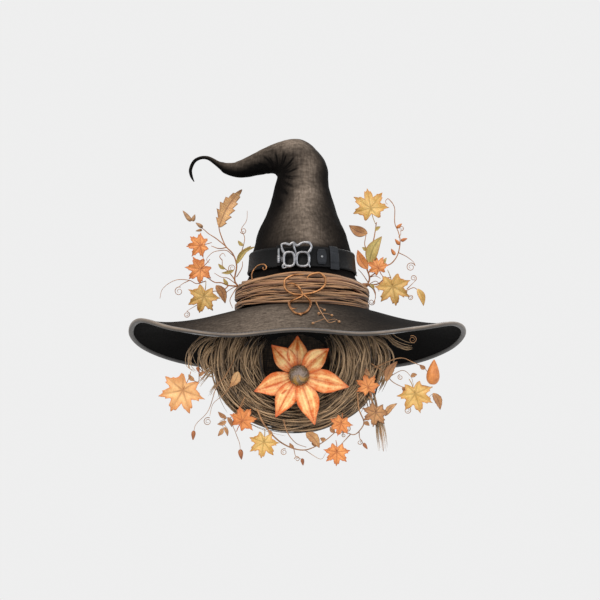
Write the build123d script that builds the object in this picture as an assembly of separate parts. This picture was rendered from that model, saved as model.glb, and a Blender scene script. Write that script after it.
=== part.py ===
from build123d import *
import os
from math import atan2, cos, degrees, hypot, pi, radians, sin, sqrt, tan

os.makedirs("parts", exist_ok=True)

# A witch hat. +Z is up, -Y is the front, and the origin is the middle of the head opening,
# on the top of the brim, where the crown stands. All sizes are in millimetres.

# Head opening and felt
head_radius = 91.5
band_thickness = 1.2
band_height = 30.0
band_gap = 0.1
felt = 2.5
peak_felt = 2.2
hinge_gap = 0.3

# Brim
brim_reach_side = 155.7
brim_reach_front = 104.7
brim_shift_x = -7.0
brim_thickness = 3.0
brim_shoulder = 1.7
hem_width = 12.0
# Height of the brim's edge at 16 even steps, anticlockwise from +X
brim_edge_heights = [-30, -45, -59, -64, -65, -64, -58, -45, -30, -20, -41, -56, -50, -54, -40, -25]
# Extra drop half way out, at the same steps, where the brim dips before it turns up
brim_dips = [5, 2, 0, 0, 0, 0, 0, 2, 6, 12, 5, 0, 0, 0, 3, 9]
# How far the brim has dropped, as a share of the edge's drop, at a share of its width
brim_fall = [(0.3, 0.14), (0.62, 0.52)]
binding_width = 4.5
binding_thickness = 0.8
binding_gap = 0.15
brim_wire_radius = 1.0

# Crown: how far the felt stands in from its base radius, at heights that the trim sets
crown_foot = [(0.0, 0.0), (0.0, 28.0), (4.8, 37.0), (10.8, 46.0), (16.0, 57.0), (17.3, 70.0),
              (18.3, 84.0), (22.3, 97.0)]
# The same above the belt, where the height is a share of the way up to the cone's top
crown_cone = [(28.8, 0.25), (41.3, 0.54), (48.8, 0.78)]
cone_height = 195.0
cone_top_inset = 54.1

# The fold: x, height over the cone's top, share of the cone top's radius, lean in degrees.
# It is drawn, like the tip, for a cone top of this radius, and grows with it.
fold_drawn_radius = 41.2
fold_rings = [(0.0, 0.0, 1.0, 0), (-0.5, 22.5, 0.942, 15)]
fold_hinge = (-7.5, 35.0)
peak_rings = [(-21.5, 45.0, 0.804, 52), (-39.5, 44.4, 0.651, 69), (-60.0, 37.7, 0.505, 82),
              (-85.3, 27.9, 0.352, 97), (-101.0, 24.9, 0.279, 90), (-116.3, 27.3, 0.202, 76)]
tip_hinge = (-122.4, 30.8)
tip_rings = [(-128.6, 34.2, 4.2, 61), (-142.2, 42.6, 2.9, 73), (-154.0, 43.4, 2.3, 99),
             (-164.2, 37.7, 2.6, 135), (-169.7, 25.2, 2.7, 171), (-168.3, 14.7, 2.1, 194),
             (-164.2, 6.3, 0.5, 205)]
# Share of the cone top's radius and lean at the fold's hinge; radius, lean and wall at the tip's
fold_gore_middle = (0.892, 31)
tip_gore_middle = (6.2, 68)
tip_gore_wall = 1.4
shaping_wire_radius = 0.8
wire_inset = 1.4
wire_gap = 0.05

# Twigs wound round the crown
twig_radius = 3.2
thin_twig_radius = 2.7
twig_gap = 0.1
thick_twigs = 5
thin_twigs = 3

# Belt, its tab, keeper and buckle
belt_low = 58.0
belt_high = 89.0
belt_thickness = 2.2
belt_standoff = 1.6
tab_angles = (15.6, 26.0)
tab_heights = (62.0, 85.0)
tab_thickness = 2.0
rivet_radius = 3.4
rivet_pin_radius = 1.6
rivet_head = 1.2
keeper_angles = (30.4, 42.0)
keeper_wall = 1.1
keeper_gap = 0.25
buckle_x = -8.0
buckle_z = 73.6
buckle_thickness = 3.0
buckle_wire = 3.4
buckle_bar_x = -34.5
buckle_bar_radius = 1.5
knuckle_wall = 1.3
knuckle_length = 11.5
chape_reach = 3.0
chape_height = 4.0
running_gap = 0.05
buckle_standoff = 1.6

# Curled wire and its sprig of buds, in front of the twigs and on the brim
scroll_radius = 14.5
scroll_wire_radius = 1.7
scroll_gap = 0.6
scroll_rings = [(-11.3, 27.5), (20.8, 28.5)]
# Sideways place, and distance in front of the crown's base, of what lies on the brim
drop_loop = [(-6.0, 25.0), (-14.0, 33.0), (-18.0, 47.0), (-13.0, 64.0), (-2.0, 74.0), (9.0, 64.0),
             (13.0, 47.0), (10.0, 33.0), (3.0, 24.0)]
sprig_route = [(20.0, 16.0), (23.0, 41.0), (30.0, 66.0), (38.0, 84.0), (48.0, 76.0)]
sprig_buds = [(32.5, 50.0), (43.0, 60.0), (53.0, 75.0), (15.5, 92.0), (24.0, 62.0)]
sprig_bud_radius = 2.2

# Side sprays: the sockets they turn in
spray_height = 46.0
# The sprays' points are for sockets that start this far out, and move with them
left_drawn_at = 88.7
right_drawn_at = 92.03
left_spray_y = 35.0
right_spray_y = 25.0
socket_bore = 1.85
socket_wall = 1.2
socket_length = 8.0
stem_pin_radius = 1.75
stem_radius = 1.2
tendril_radius = 0.8
leaf_thickness = 1.2
layer_gap = 0.5

# Hanging nest
nest_x = -9.0
nest_z = -88.0
nest_half_width = 124.0
nest_half_height = 102.0
nest_hole_half_width = 52.0
nest_hole_half_height = 54.0
nest_top = -45.0
nest_clearance = 10.7
nest_depth = 26.0
hoop_radius = 80.0
hoop_wire_radius = 2.0
hoop_end_angle = 35.0
bar_z = -27.0
bar_radius = 1.5
eyelet_wire_radius = 0.9
eyelet_bore = 1.8
eyelet_reach = 51.0
eyelet_pad_radius = 5.0
eyelet_pad = 1.4
disc_thickness = 1.5
disc_overlap = (8.0, 6.0)
vine_radius = 1.0

# Leaves. A blade is the x, z of its foot and tip, and its width. A maple leaf is x, z, size and spin.
left_blades = {
    "left_leaf_tall": (-127, 140, -94, 195, 24), "left_leaf_orange": (-140, 108, -175, 104, 25),
    "left_leaf_brown": (-129, 46, -117, 20, 13)}
left_maples = {"left_maple_orange": (-155, 71, 21, 130), "left_maple_yellow": (-150, 29, 24, 165)}
right_blades = {
    "right_leaf_curled": (99, 124, 72, 138, 15), "right_leaf_pointed": (103, 77, 122, 120, 18)}
right_maples = {"right_maple_top": (105, 165, 27, 10)}
# Two leaves on one twig, the maple leaf in front
right_pairs = {
    "right_leaves_orange": ((99, 70, 86, 99, 13), (116, 73, 16, 0)),
    "right_maple_big": ((176, 38, 184, 15, 9), (138, 44, 27, 190))}
pair_step = 2.0
garland_maples = {
    "garland_leaves_left": [(-172, -131, 31, 150), (-86, -175, 19, -35)],
    "garland_leaves_bottom": [(-55, -206, 20, 170), (50, -220, 17, 185)],
    "garland_leaves_right": [(95, -126, 17, 20), (106, -163, 16, -160), (163, -136, 24, -140)]}
garland_blades = {
    "garland_leaves_left": [(-101, -172, -124, -180, 7), (-104, -180, -122, -196, 7)],
    "garland_leaves_bottom": [(6, -194, 24, -213, 13)],
    "garland_leaves_right": [(121, -118, 138, -90, 11), (120, -168, 136, -152, 8), (189, -135, 199, -158, 11)]}
# Buds and seeds: the x, z of foot and tip, and the width
left_buds = [(-152, 136.5, -163, 144, 6), (-170, 146, -182, 162, 7), (-168, 146, -163, 156, 6),
             (-153, 133, -162, 131, 4)]
right_buds = [(142, 92, 136, 102, 5), (149, 108, 143, 117, 5), (151, 114, 160, 117, 5), (145, 134, 153, 141, 5)]
right_bud_setback = 2.5
seeds = [(-156, -190.4, -156.5, -202, 6), (-89, -217.4, -87, -229, 6), (188.5, -126, 192, -85, 19)]
hanging_buds = [(88, -208, 92, -215, 6), (1, -230, 1, -240, 7)]
hanging_step = 4.0
seed_strands = [[(-122, -124), (-135, -161), (-152, -180), (-156, -190)],
                [(-99, -176), (-96, -192), (-90, -208), (-89, -217)]]

# Flower
flower_x = -4.5
flower_z = -110.0
flower_pin_radius = 2.0
flower_heart_radius = 14.5
flower_hub_radius = 5.5
petal_root = 6.2
petal_pitch = 1.9
# Direction in degrees from +X, length and width of each petal
petals = [(90, 58.5, 31), (134, 60, 31), (197.5, 68.5, 34), (243, 69, 31), (286, 75, 33),
          (349, 74, 34), (40, 58.5, 31)]

# Worked out from the above
felt_inner_radius = head_radius + band_thickness + band_gap
belt_face = belt_standoff + belt_thickness
edge_count = len(brim_edge_heights)
base_radius = felt_inner_radius + felt
shoulder_radius = base_radius + brim_shoulder
cone_top_radius = base_radius - cone_top_inset
fold_scale = cone_top_radius / fold_drawn_radius
brim_half_width = base_radius + brim_reach_side
brim_half_depth = base_radius + brim_reach_front
nest_back_y = -(base_radius + nest_clearance)
vertical = Vector(0, 0, 1)


def crown_profile():
    """Outer radius and height of the cone, from its foot to its top."""
    foot = [(base_radius - inset, z) for inset, z in crown_foot]
    foot_top = crown_foot[-1][1]
    rise = cone_height - foot_top
    upper = [(base_radius - inset, foot_top + share * rise) for inset, share in crown_cone]
    return foot + upper + [(cone_top_radius, cone_height)]


def crown_radius(z):
    """Outer radius of the cone at a height."""
    points = crown_profile()
    for (r0, z0), (r1, z1) in zip(points, points[1:]):
        if z0 <= z <= z1:
            return r0 + (r1 - r0) * (z - z0) / (z1 - z0)
    return points[0][0] if z < points[0][1] else points[-1][0]


def save(shape, name):
    export_step(shape, f"parts/{name}.step")


def section(points):
    """A flat face in the XZ plane, for turning about Z."""
    return make_face(Polyline(*[(x, 0, z) for x, z in points], close=True))


def turned(points):
    return revolve(section(points), axis=Axis.Z)


def lean_plane(x, z, lean):
    """A plane square to a line that leans from upright towards -X by an angle in degrees."""
    across = (-sin(radians(lean)), 0, cos(radians(lean)))
    outer_side = (cos(radians(lean)), 0, sin(radians(lean)))
    return Plane(origin=(x, 0, z), x_dir=outer_side, z_dir=across)


def ring_loft(rings, inset=0.0):
    """A smooth solid through round sections, each x, z, radius and lean."""
    wires = [Wire.make_circle(r - inset, lean_plane(x, z, lean)) for x, z, r, lean in rings]
    return Solid.make_loft(wires)


def sized(rings):
    """Fold or peak rings, with their places and radii made real."""
    return [(x * fold_scale, cone_height + z * fold_scale, share * cone_top_radius, lean)
            for x, z, share, lean in rings]


def tube(points, radius):
    """A round wire along straight runs, rounded at every corner as far as the runs allow."""
    spots = [Vector(*p) for p in points]
    runs = [(b - a).length for a, b in zip(spots, spots[1:])]
    radii = []
    for i in range(1, len(spots) - 1):
        turn = radians((spots[i] - spots[i - 1]).get_angle(spots[i + 1] - spots[i]))
        radii.append(0.45 * min(runs[i - 1], runs[i]) / tan(turn / 2))
    line = FilletPolyline(*spots, radius=radii) if radii else Line(*spots)
    start = Plane(origin=spots[0], z_dir=spots[1] - spots[0])
    return sweep(start * Circle(radius), path=line)


def flat_tube(points, y, radius):
    """A tube whose x, z points lie in one upright plane."""
    return tube([(x, y, z) for x, z in points], radius)


# Brim

def brim_points(share, fall):
    """Points of a ring that lies a share of the way from the shoulder to the edge."""
    ring = []
    for i, (height, dip) in enumerate(zip(brim_edge_heights, brim_dips)):
        t = 2 * pi * i / edge_count
        near = Vector(shoulder_radius * cos(t), shoulder_radius * sin(t), 0)
        far = Vector(brim_shift_x + brim_half_width * cos(t), brim_half_depth * sin(t), 0)
        drop = fall * height - 4 * share * (1 - share) * dip
        ring.append(near + (far - near) * share + vertical * drop)
    return ring


def hem_frames():
    """Each edge point of the brim's top, with the unit vector that leads inwards from it."""
    edge = brim_points(1, 1)
    inner = brim_points(*brim_fall[-1])
    return [(p, (q - p).normalized()) for p, q in zip(edge, inner)]


def closed_ring(points):
    steps = [i / len(points) for i in range(len(points) + 1)]
    return Edge.make_spline(points, periodic=True, parameters=steps)


def ring_solid(rings):
    """A closed hoop whose section has one corner on each ring of points."""
    edges = [closed_ring(r) for r in rings]
    faces = [Face.make_surface_from_curves(a, b) for a, b in zip(edges, edges[1:] + edges[:1])]
    solid = Solid(Shell(faces))
    return solid if solid.volume > 0 else Solid(Shell([-f for f in faces]))


def make_brim():
    turns = [2 * pi * i / edge_count for i in range(edge_count)]
    hole = [Vector(felt_inner_radius * cos(t), felt_inner_radius * sin(t), 0) for t in turns]
    hem = [p + inwards * hem_width for p, inwards in hem_frames()]
    top = [hole, brim_points(0, 0)]
    top += [brim_points(share, fall) for share, fall in brim_fall]
    top += [hem, brim_points(1, 1)]
    under = [[p - vertical * brim_thickness for p in ring] for ring in top]
    return ring_solid(top + under[::-1])


def hem_ring(inwards, up):
    """A ring that runs along the brim's edge, offset inwards and up from its top corner."""
    return [p + u * inwards + vertical * up for p, u in hem_frames()]


def make_binding():
    channel = -(2 * binding_gap + 2 * brim_wire_radius)
    skin = binding_gap + binding_thickness
    section_corners = [
        (binding_width, skin), (channel - binding_thickness, skin),
        (channel - binding_thickness, -brim_thickness - skin), (binding_width, -brim_thickness - skin),
        (binding_width, -brim_thickness - binding_gap), (channel, -brim_thickness - binding_gap),
        (channel, binding_gap), (binding_width, binding_gap)]
    return ring_solid([hem_ring(a, b) for a, b in section_corners])


def make_brim_wire():
    centre = -(binding_gap + brim_wire_radius)
    corners = [radians(45 * k + 22.5) for k in range(8)]
    return ring_solid([hem_ring(centre + brim_wire_radius * cos(a),
                                brim_wire_radius * sin(a) - brim_thickness / 2) for a in corners])


def brim_under(x, y):
    """Height of the brim's underside over a point, read along its nearest ring lines."""
    angle = atan2(y / brim_half_depth, (x - brim_shift_x) / brim_half_width) % (2 * pi)
    place = angle / (2 * pi) * edge_count
    i = int(place)
    stops = [(0, 0)] + brim_fall + [(1, 1)]
    heights = []
    for k in (i % edge_count, (i + 1) % edge_count):
        rings = [brim_points(share, fall)[k] for share, fall in stops]
        reach = [hypot(p.X, p.Y) for p in rings]
        r = hypot(x, y)
        for (r0, r1), (p0, p1) in zip(zip(reach, reach[1:]), zip(rings, rings[1:])):
            if r0 <= r <= r1:
                heights.append(p0.Z + (p1.Z - p0.Z) * (r - r0) / (r1 - r0))
    return min(heights) - brim_thickness


# Crown, peak and tip

def make_crown():
    outer = crown_profile()
    inner = [(r - felt, z) for r, z in outer]
    cone = turned(outer + inner[::-1])
    fold = ring_loft(sized(fold_rings)) - ring_loft(sized(fold_rings), felt)
    return cone + fold


def make_peak():
    return ring_loft(sized(peak_rings)) - ring_loft(sized(peak_rings), peak_felt)


def shifted(ring, distance):
    """A ring moved along its own axis."""
    x, z, r, lean = ring
    return x - sin(radians(lean)) * distance, z + cos(radians(lean)) * distance, r, lean


def make_gore(start, end, middle, wall):
    rings = [shifted(start, hinge_gap), middle, shifted(end, -hinge_gap)]
    return ring_loft(rings) - ring_loft(rings, wall)


def tip_sized(rings):
    """Rings of the tip, whose radii are in millimetres."""
    return [(x * fold_scale, cone_height + z * fold_scale, r * fold_scale, lean) for x, z, r, lean in rings]


def tip_wire_points():
    return [(x, 0, z) for x, z, _, _ in tip_sized(tip_rings)[:-1]]


def make_tip():
    bore = tube(tip_wire_points(), shaping_wire_radius + wire_gap)
    return ring_loft(tip_sized(tip_rings)) - bore


def make_tip_wire():
    return tube(tip_wire_points(), shaping_wire_radius)


def make_peak_wire():
    """The wire lies against the inside of the felt, on the outer side of the bend."""
    points = []
    for x, z, r, lean in sized(peak_rings)[:-1]:
        reach = r - peak_felt - wire_inset
        points.append((x + cos(radians(lean)) * reach, 0, z + sin(radians(lean)) * reach))
    return tube(points, shaping_wire_radius)


def make_crown_wire():
    low = crown_foot[-1][1]
    rows = [(r, z) for r, z in crown_profile() if z >= low]
    points = [(r - felt - wire_inset, 0, z) for r, z in rows]
    x, z, r, lean = sized(fold_rings)[-1]
    reach = r - felt - wire_inset
    points.append((x + cos(radians(lean)) * reach, 0, z + sin(radians(lean)) * reach))
    return tube(points, shaping_wire_radius)


def make_sweatband():
    outer = head_radius + band_thickness
    low = -brim_thickness
    high = low + band_height
    return turned([(head_radius, low), (outer, low), (outer, high), (head_radius, high)])


# Twigs

def twig_rows():
    """Height and twig radius of each turn, stacked from the brim up."""
    rows = []
    z = twig_gap
    for radius in [twig_radius] * thick_twigs + [thin_twig_radius] * thin_twigs:
        rows.append((z + radius, radius))
        z += 2 * radius + twig_gap
    return rows


def twig_centre(z, radius):
    return crown_radius(z - radius) + radius + twig_gap


def make_twigs(rows):
    return Compound([Solid.make_torus(twig_centre(z, r), r, Plane(origin=(0, 0, z))) for z, r in rows])


def twig_face_y():
    return -max(twig_centre(z, r) + r for z, r in twig_rows())


# Belt

def belt_rows(low, high):
    """Heights between two levels where the cone changes slope, with both ends."""
    return [low] + [z for _, z in crown_profile() if low < z < high] + [high]


def belt_band(low, high, start, end):
    """Section of a band that follows the cone, from one standoff to another."""
    rows = belt_rows(low, high)
    return ([(crown_radius(z) + start, z) for z in rows]
            + [(crown_radius(z) + end, z) for z in rows[::-1]])


def part_turn(face, first, last):
    """A section turned between two angles, measured from the front towards +X."""
    piece = revolve(face, axis=Axis.Z, revolution_arc=last - first)
    return Rot(0, 0, first - 90) * piece


def make_belt():
    return turned(belt_band(belt_low, belt_high, belt_standoff, belt_face))


def tab_middle():
    """Angle and height of the rivet."""
    return sum(tab_angles) / 2, sum(tab_heights) / 2


def rivet_frame():
    """A plane square to the belt's front at the rivet, facing outwards."""
    angle, z = tab_middle()
    a = radians(angle - 90)
    r = crown_radius(z) + belt_face
    return Plane(origin=(r * cos(a), r * sin(a), z), x_dir=(-sin(a), cos(a), 0), z_dir=(cos(a), sin(a), 0))


def make_tab():
    face = section(belt_band(*tab_heights, belt_face + band_gap, belt_face + band_gap + tab_thickness))
    strip = part_turn(face, *tab_angles)
    hole = rivet_frame() * Cylinder(rivet_pin_radius + wire_gap, 4 * tab_thickness)
    return strip - hole


def make_rivet():
    face = tab_thickness + 3 * band_gap + 0.25
    pin = Pos(0, 0, face / 2 + band_gap) * Cylinder(rivet_pin_radius, face)
    upwards = (Align.CENTER, Align.CENTER, Align.MIN)
    head = Pos(0, 0, face + band_gap) * Cone(rivet_radius, rivet_radius * 0.6, rivet_head, align=upwards)
    return rivet_frame() * (pin + head)


def make_keeper():
    room = keeper_gap
    wall = keeper_wall
    inner = section(belt_band(belt_low - room, belt_high + room, belt_standoff - room, belt_face + room))
    outer = section(belt_band(belt_low - room - wall, belt_high + room + wall,
                              belt_standoff - room - wall, belt_face + room + wall))
    return part_turn(outer - inner, *keeper_angles)


# Buckle

def belt_front_y():
    return -(crown_radius(belt_low) + belt_face)


def buckle_y():
    """The buckle's back face."""
    return belt_front_y() - buckle_standoff


def front_plane(x, y, z, spin=0.0):
    """An upright plane that faces the front, with its own X turned up from +X by an angle."""
    a = radians(spin)
    return Plane(origin=(x, y, z), x_dir=(cos(a), 0, sin(a)), z_dir=(0, -1, 0))


def buckle_rings():
    """The frame's two lower loops as x, z, half width and half height from its middle."""
    return [(-11.0, -5.3, 10.2, 12.8), (9.0, -5.3, 11.2, 12.8)]


def make_buckle_frame():
    face = Sketch()
    for x, z, half_width, half_height in buckle_rings():
        loop = Ellipse(half_width, half_height) - Ellipse(half_width - buckle_wire, half_height - buckle_wire)
        face += Pos(x, z) * loop
    crest = Polyline((-18, 2), (-21.5, 11), (-21, 17.5), (-10.5, 14.5), (-4.5, 19.5), (1.5, 13.5),
                     (8, 18.5), (18, 19), (22, 14), (19.5, 7.5), (15, 2))
    face += trace(crest, buckle_wire)
    loop_x, loop_z, loop_half_width, _ = buckle_rings()[0]
    bar_offset = buckle_bar_x - buckle_x
    link_end = loop_x - loop_half_width + buckle_wire / 2
    link = Pos((bar_offset + link_end) / 2, loop_z) * Rectangle(link_end - bar_offset, knuckle_length * 0.8)
    face += link
    plate = extrude(front_plane(buckle_x, buckle_y(), buckle_z) * face, buckle_thickness)
    centre = Pos(buckle_bar_x, buckle_y() - buckle_thickness / 2, buckle_z + loop_z)
    knuckle = centre * Cylinder(buckle_bar_radius + running_gap + knuckle_wall, knuckle_length)
    bore = centre * Cylinder(buckle_bar_radius + running_gap, 2 * knuckle_length)
    return plate + knuckle - bore


def make_buckle_bar():
    y = buckle_y() - buckle_thickness / 2
    return Pos(buckle_bar_x, y, (belt_low + belt_high) / 2) * Cylinder(buckle_bar_radius, belt_high - belt_low - 1)


def make_buckle_chape():
    """Two leather loops, sewn on the belt, that hold the ends of the bar."""
    y = buckle_y() - buckle_thickness / 2
    loops = []
    for z in (belt_low + 2.2, belt_high - 2.4):
        reach = crown_radius(belt_low) + belt_face + band_gap
        inner = sqrt(reach ** 2 - (abs(buckle_bar_x) - chape_reach) ** 2)
        depth = -y - inner
        block = Pos(buckle_bar_x, -inner - depth / 2, z) * Box(2 * chape_reach, depth, chape_height)
        nose = Pos(buckle_bar_x, y, z) * Cylinder(chape_reach, chape_height)
        bore = Pos(buckle_bar_x, y, z) * Cylinder(buckle_bar_radius + running_gap, 2 * chape_height)
        loops += (block + nose - bore).solids()
    return Compound(loops)


# Scroll and sprig

def scroll_y():
    return twig_face_y() - scroll_gap - scroll_wire_radius


def on_brim(x, out, lift):
    """A point over the brim's top, a distance in front of the crown's base."""
    y = -(base_radius + out)
    return x, y, brim_under(x, y) + brim_thickness + lift


def make_scroll():
    """Two rings side by side and a long drop loop that lies on the brim."""
    rings = [Solid.make_torus(scroll_radius, scroll_wire_radius, front_plane(x, scroll_y(), z))
             for x, z in scroll_rings]
    loop = tube([on_brim(x, out, scroll_wire_radius + 1.2) for x, out in drop_loop], scroll_wire_radius)
    return Compound(rings + loop.solids())


def make_sprig():
    stem = tube([on_brim(x, out, tendril_radius + 3.0) for x, out in sprig_route], tendril_radius)
    buds = [Pos(*on_brim(x, out, sprig_bud_radius + 0.8)) * Sphere(sprig_bud_radius) for x, out in sprig_buds]
    return Compound(stem.solids() + [b.solid() for b in buds])


# Leaves and buds

def maple_face(size):
    """A five-lobed leaf whose stalk end is at the origin's underside; size is its half height."""
    lobes = [(90, 1.0), (66, 0.55), (42, 0.98), (18, 0.5), (-8, 0.86), (-38, 0.4), (-62, 0.62)]
    right = [(size * r * cos(radians(a)), size * r * sin(radians(a))) for a, r in lobes]
    left = [(-x, z) for x, z in right[:0:-1]]
    return make_face(Polyline(*right, (0, -size * 0.35), *left, close=True))


def blade_face(length, width):
    """A pointed leaf that grows from the origin along its own X."""
    bulge = (length * 0.45, width / 2)
    upper = ThreePointArc((0, 0), bulge, (length, 0))
    lower = ThreePointArc((length, 0), (bulge[0], -bulge[1]), (0, 0))
    return make_face([upper, lower])


def leaf(face, x, y, z, spin):
    """A leaf of even thickness, with its back at y."""
    return extrude(front_plane(x, y, z, spin) * face, leaf_thickness)


def blade(x, y, z, to_x, to_z, width):
    return leaf(blade_face(hypot(to_x - x, to_z - z), width), x, y, z, degrees(atan2(to_z - z, to_x - x)))


def bud(x, y, z, to_x, to_z, width):
    """A round pointed bud from one point to another."""
    length = hypot(to_x - x, to_z - z)
    profile = [(0, 0), (0.8, 0.14), (1, 0.38), (0.62, 0.72), (0, 1)]
    solid = turned([(r * width / 2, z * length) for r, z in profile])
    return Plane(origin=(x, y, z), x_dir=(0, 1, 0), z_dir=(to_x - x, 0, to_z - z)) * solid


def group(*pieces):
    return Compound([s for p in pieces for s in p.solids()])


# Side sprays

def socket_x(y):
    """How far out a socket starts, just clear of the twigs."""
    wrap = max(twig_centre(z, r) + r for z, r in twig_rows() if z + r > spray_height - socket_bore - socket_wall)
    return sqrt(wrap ** 2 - y ** 2) + twig_gap


def make_sockets():
    sockets = []
    for side, y in ((-1, left_spray_y), (1, right_spray_y)):
        x = side * (socket_x(y) + socket_length / 2)
        shell = Cylinder(socket_bore + socket_wall, socket_length) - Cylinder(socket_bore, 2 * socket_length)
        sockets += (Pos(x, y, spray_height) * Rot(0, 90, 0) * shell).solids()
    return Compound(sockets)


def make_spray_pin(side, y, drawn_at):
    """The straight foot of a spray, which turns in its socket."""
    start = drawn_at + 1
    end = drawn_at + socket_length + 3
    pin = Cylinder(stem_pin_radius, end - start)
    return Pos(side * (start + end) / 2, y, spray_height) * Rot(0, 90, 0) * pin, side * end


def left_placed(shape):
    return Pos(left_drawn_at - socket_x(left_spray_y), 0, 0) * shape


def make_left_stem():
    y = left_spray_y
    pin, x = make_spray_pin(-1, y, left_drawn_at)
    start = (x + 1, spray_height)
    stems = [
        [start, (x - 5, 56), (x - 2, 78), (-106, 96), (-117, 108), (-125, 127), (-128, 138)],
        [(-117, 108), (-132, 120), (-143, 127), (-151, 134)],
        [(-115, 106), (-127, 104), (-139, 108)],
        [start, (-112, 47), (-123, 51), (-134, 52), (-146, 60)],
        [(-112, 47), (-122, 38), (-134, 38), (-143, 36)],
        [(x - 5, 56), (-112, 68), (-121, 76), (-122, 86)],
    ]
    shape = pin
    for points in stems:
        shape += flat_tube(points, y, stem_radius)
    return shape


def make_left_tendrils():
    y = left_spray_y + stem_radius + layer_gap + tendril_radius
    curls = [
        [(-147, 54), (-161, 50), (-172, 55), (-190, 56), (-204, 50), (-214, 40), (-216, 27)],
        [(-104, 92), (-115, 101), (-126, 101), (-137, 98), (-145, 88)],
        [(-98, 92), (-90, 108), (-88, 122), (-93, 134), (-87, 148), (-85, 163)],
        [(-107, 62), (-103, 74), (-110, 82), (-117, 76), (-112, 69)],
    ]
    return group(*[flat_tube(c, y, tendril_radius) for c in curls])


def left_front():
    return left_spray_y - stem_radius - layer_gap


def buds_at(y, rows):
    return group(*[bud(x, y, z, tip_x, tip_z, width) for x, z, tip_x, tip_z, width in rows])


def blade_at(y, row):
    x, z, tip_x, tip_z, width = row
    return blade(x, y, z, tip_x, tip_z, width)


def maple_at(y, row):
    x, z, size, spin = row
    return leaf(maple_face(size), x, y, z, spin)


# Right spray

def right_placed(shape):
    return Pos(socket_x(right_spray_y) - right_drawn_at, 0, 0) * shape


def make_right_stem():
    y = right_spray_y
    pin, x = make_spray_pin(1, y, right_drawn_at)
    start = (x - 1, spray_height)
    stems = [
        [start, (x + 4, 58), (x - 1, 78), (104, 98), (110, 118), (114, 141)],
        [(x + 4, 58), (116, 68), (124, 76), (134, 78), (143, 87), (148, 99), (150, 115), (147, 129),
         (142, 142), (142, 164), (138, 174)],
        [start, (116, 48), (126, 56), (136, 58)],
        [(118, 50), (134, 42), (150, 36), (160, 38), (170, 42), (176, 38)],
        [(103, 96), (96, 108), (98, 122)],
    ]
    shape = pin
    for points in stems:
        shape += flat_tube(points, y, stem_radius)
    return shape


def make_right_tendrils():
    y = right_spray_y + stem_radius + layer_gap + tendril_radius
    curls = [
        [(148, 96), (160, 90), (168, 80), (174, 70), (168, 62), (161, 68)],
        [(160, 40), (166, 50), (172, 58), (178, 52)],
        [(108, 44), (112, 34), (111, 20), (104, 17), (101, 24)],
        [(148, 120), (154, 128), (152, 138)],
    ]
    return group(*[flat_tube(c, y, tendril_radius) for c in curls])


def right_front():
    return right_spray_y - stem_radius - layer_gap


def make_pair(blade_row, maple_row):
    return group(blade_at(right_front(), blade_row), maple_at(right_front() - pair_step, maple_row))


# Nest

def nest_face(half_width, half_height):
    return front_plane(nest_x, nest_back_y, nest_z) * Ellipse(half_width, half_height)


def hoop_end():
    """X reach and height of the hoop's ends, where it turns up to the bar."""
    return hoop_radius * cos(radians(hoop_end_angle)), nest_z + hoop_radius * sin(radians(hoop_end_angle))


def hoop_y():
    return nest_back_y - nest_depth / 2


def make_hoop():
    reach, z = hoop_end()
    y = hoop_y()
    left = (nest_x - reach, y, z)
    right = (nest_x + reach, y, z)
    arc = ThreePointArc(left, (nest_x, y, nest_z - hoop_radius), right)
    bow = sweep(Plane(origin=left, z_dir=arc % 0) * Circle(hoop_wire_radius), path=arc)
    legs = []
    for x in (nest_x - reach, nest_x + reach):
        height = bar_z + hoop_wire_radius - z + hoop_wire_radius
        legs.append(Pos(x, y, z - hoop_wire_radius + height / 2) * Cylinder(hoop_wire_radius, height))
    return bow + legs[0] + legs[1]


def make_straw(side):
    """Half of the nest's ring, on the left for -1 and the right for 1."""
    ring = nest_face(nest_half_width, nest_half_height) - nest_face(nest_hole_half_width, nest_hole_half_height)
    shape = extrude(ring, nest_depth)
    keep = 2 * nest_half_width
    middle = (nest_x + side * (keep / 2 + band_gap), nest_back_y, nest_top - keep / 2)
    half = Pos(*middle) * Box(keep, keep, keep)
    bow = Pos(nest_x, hoop_y(), nest_z) * Rot(90, 0, 0) * Torus(hoop_radius, hoop_wire_radius + 0.2)
    reach, z = hoop_end()
    leg = Pos(nest_x + side * reach, hoop_y(), z + 40) * Cylinder(hoop_wire_radius + 0.2, 90)
    return shape & half - bow - leg


def make_hanger_bar():
    reach, _ = hoop_end()
    length = 2 * (reach - hoop_wire_radius - running_gap)
    return Pos(nest_x, hoop_y(), bar_z) * Rot(0, 90, 0) * Cylinder(bar_radius, length)


def make_eyelets():
    """Two wire eyes under the brim that the bar turns in, each on a sewn pad."""
    eyes = []
    y = hoop_y()
    ring = eyelet_bore + eyelet_wire_radius
    for x in (nest_x - eyelet_reach, nest_x + eyelet_reach):
        corners = [brim_under(x + dx, y + dy) for dx in (-eyelet_pad_radius, eyelet_pad_radius)
                   for dy in (-eyelet_pad_radius, eyelet_pad_radius)]
        pad_top = min(corners) - 0.4
        eye = Pos(x, y, bar_z) * Rot(0, 90, 0) * Torus(ring, eyelet_wire_radius)
        foot = bar_z + ring
        shank_length = pad_top - eyelet_pad / 2 - foot
        shank = Pos(x, y, foot + shank_length / 2) * Cylinder(eyelet_wire_radius, shank_length)
        pad = Pos(x, y, pad_top - eyelet_pad / 2) * Cylinder(eyelet_pad_radius, eyelet_pad)
        eyes += (eye + shank + pad).solids()
    return Compound(eyes)


def disc_back_y():
    return nest_back_y + 0.2 + disc_thickness


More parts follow.
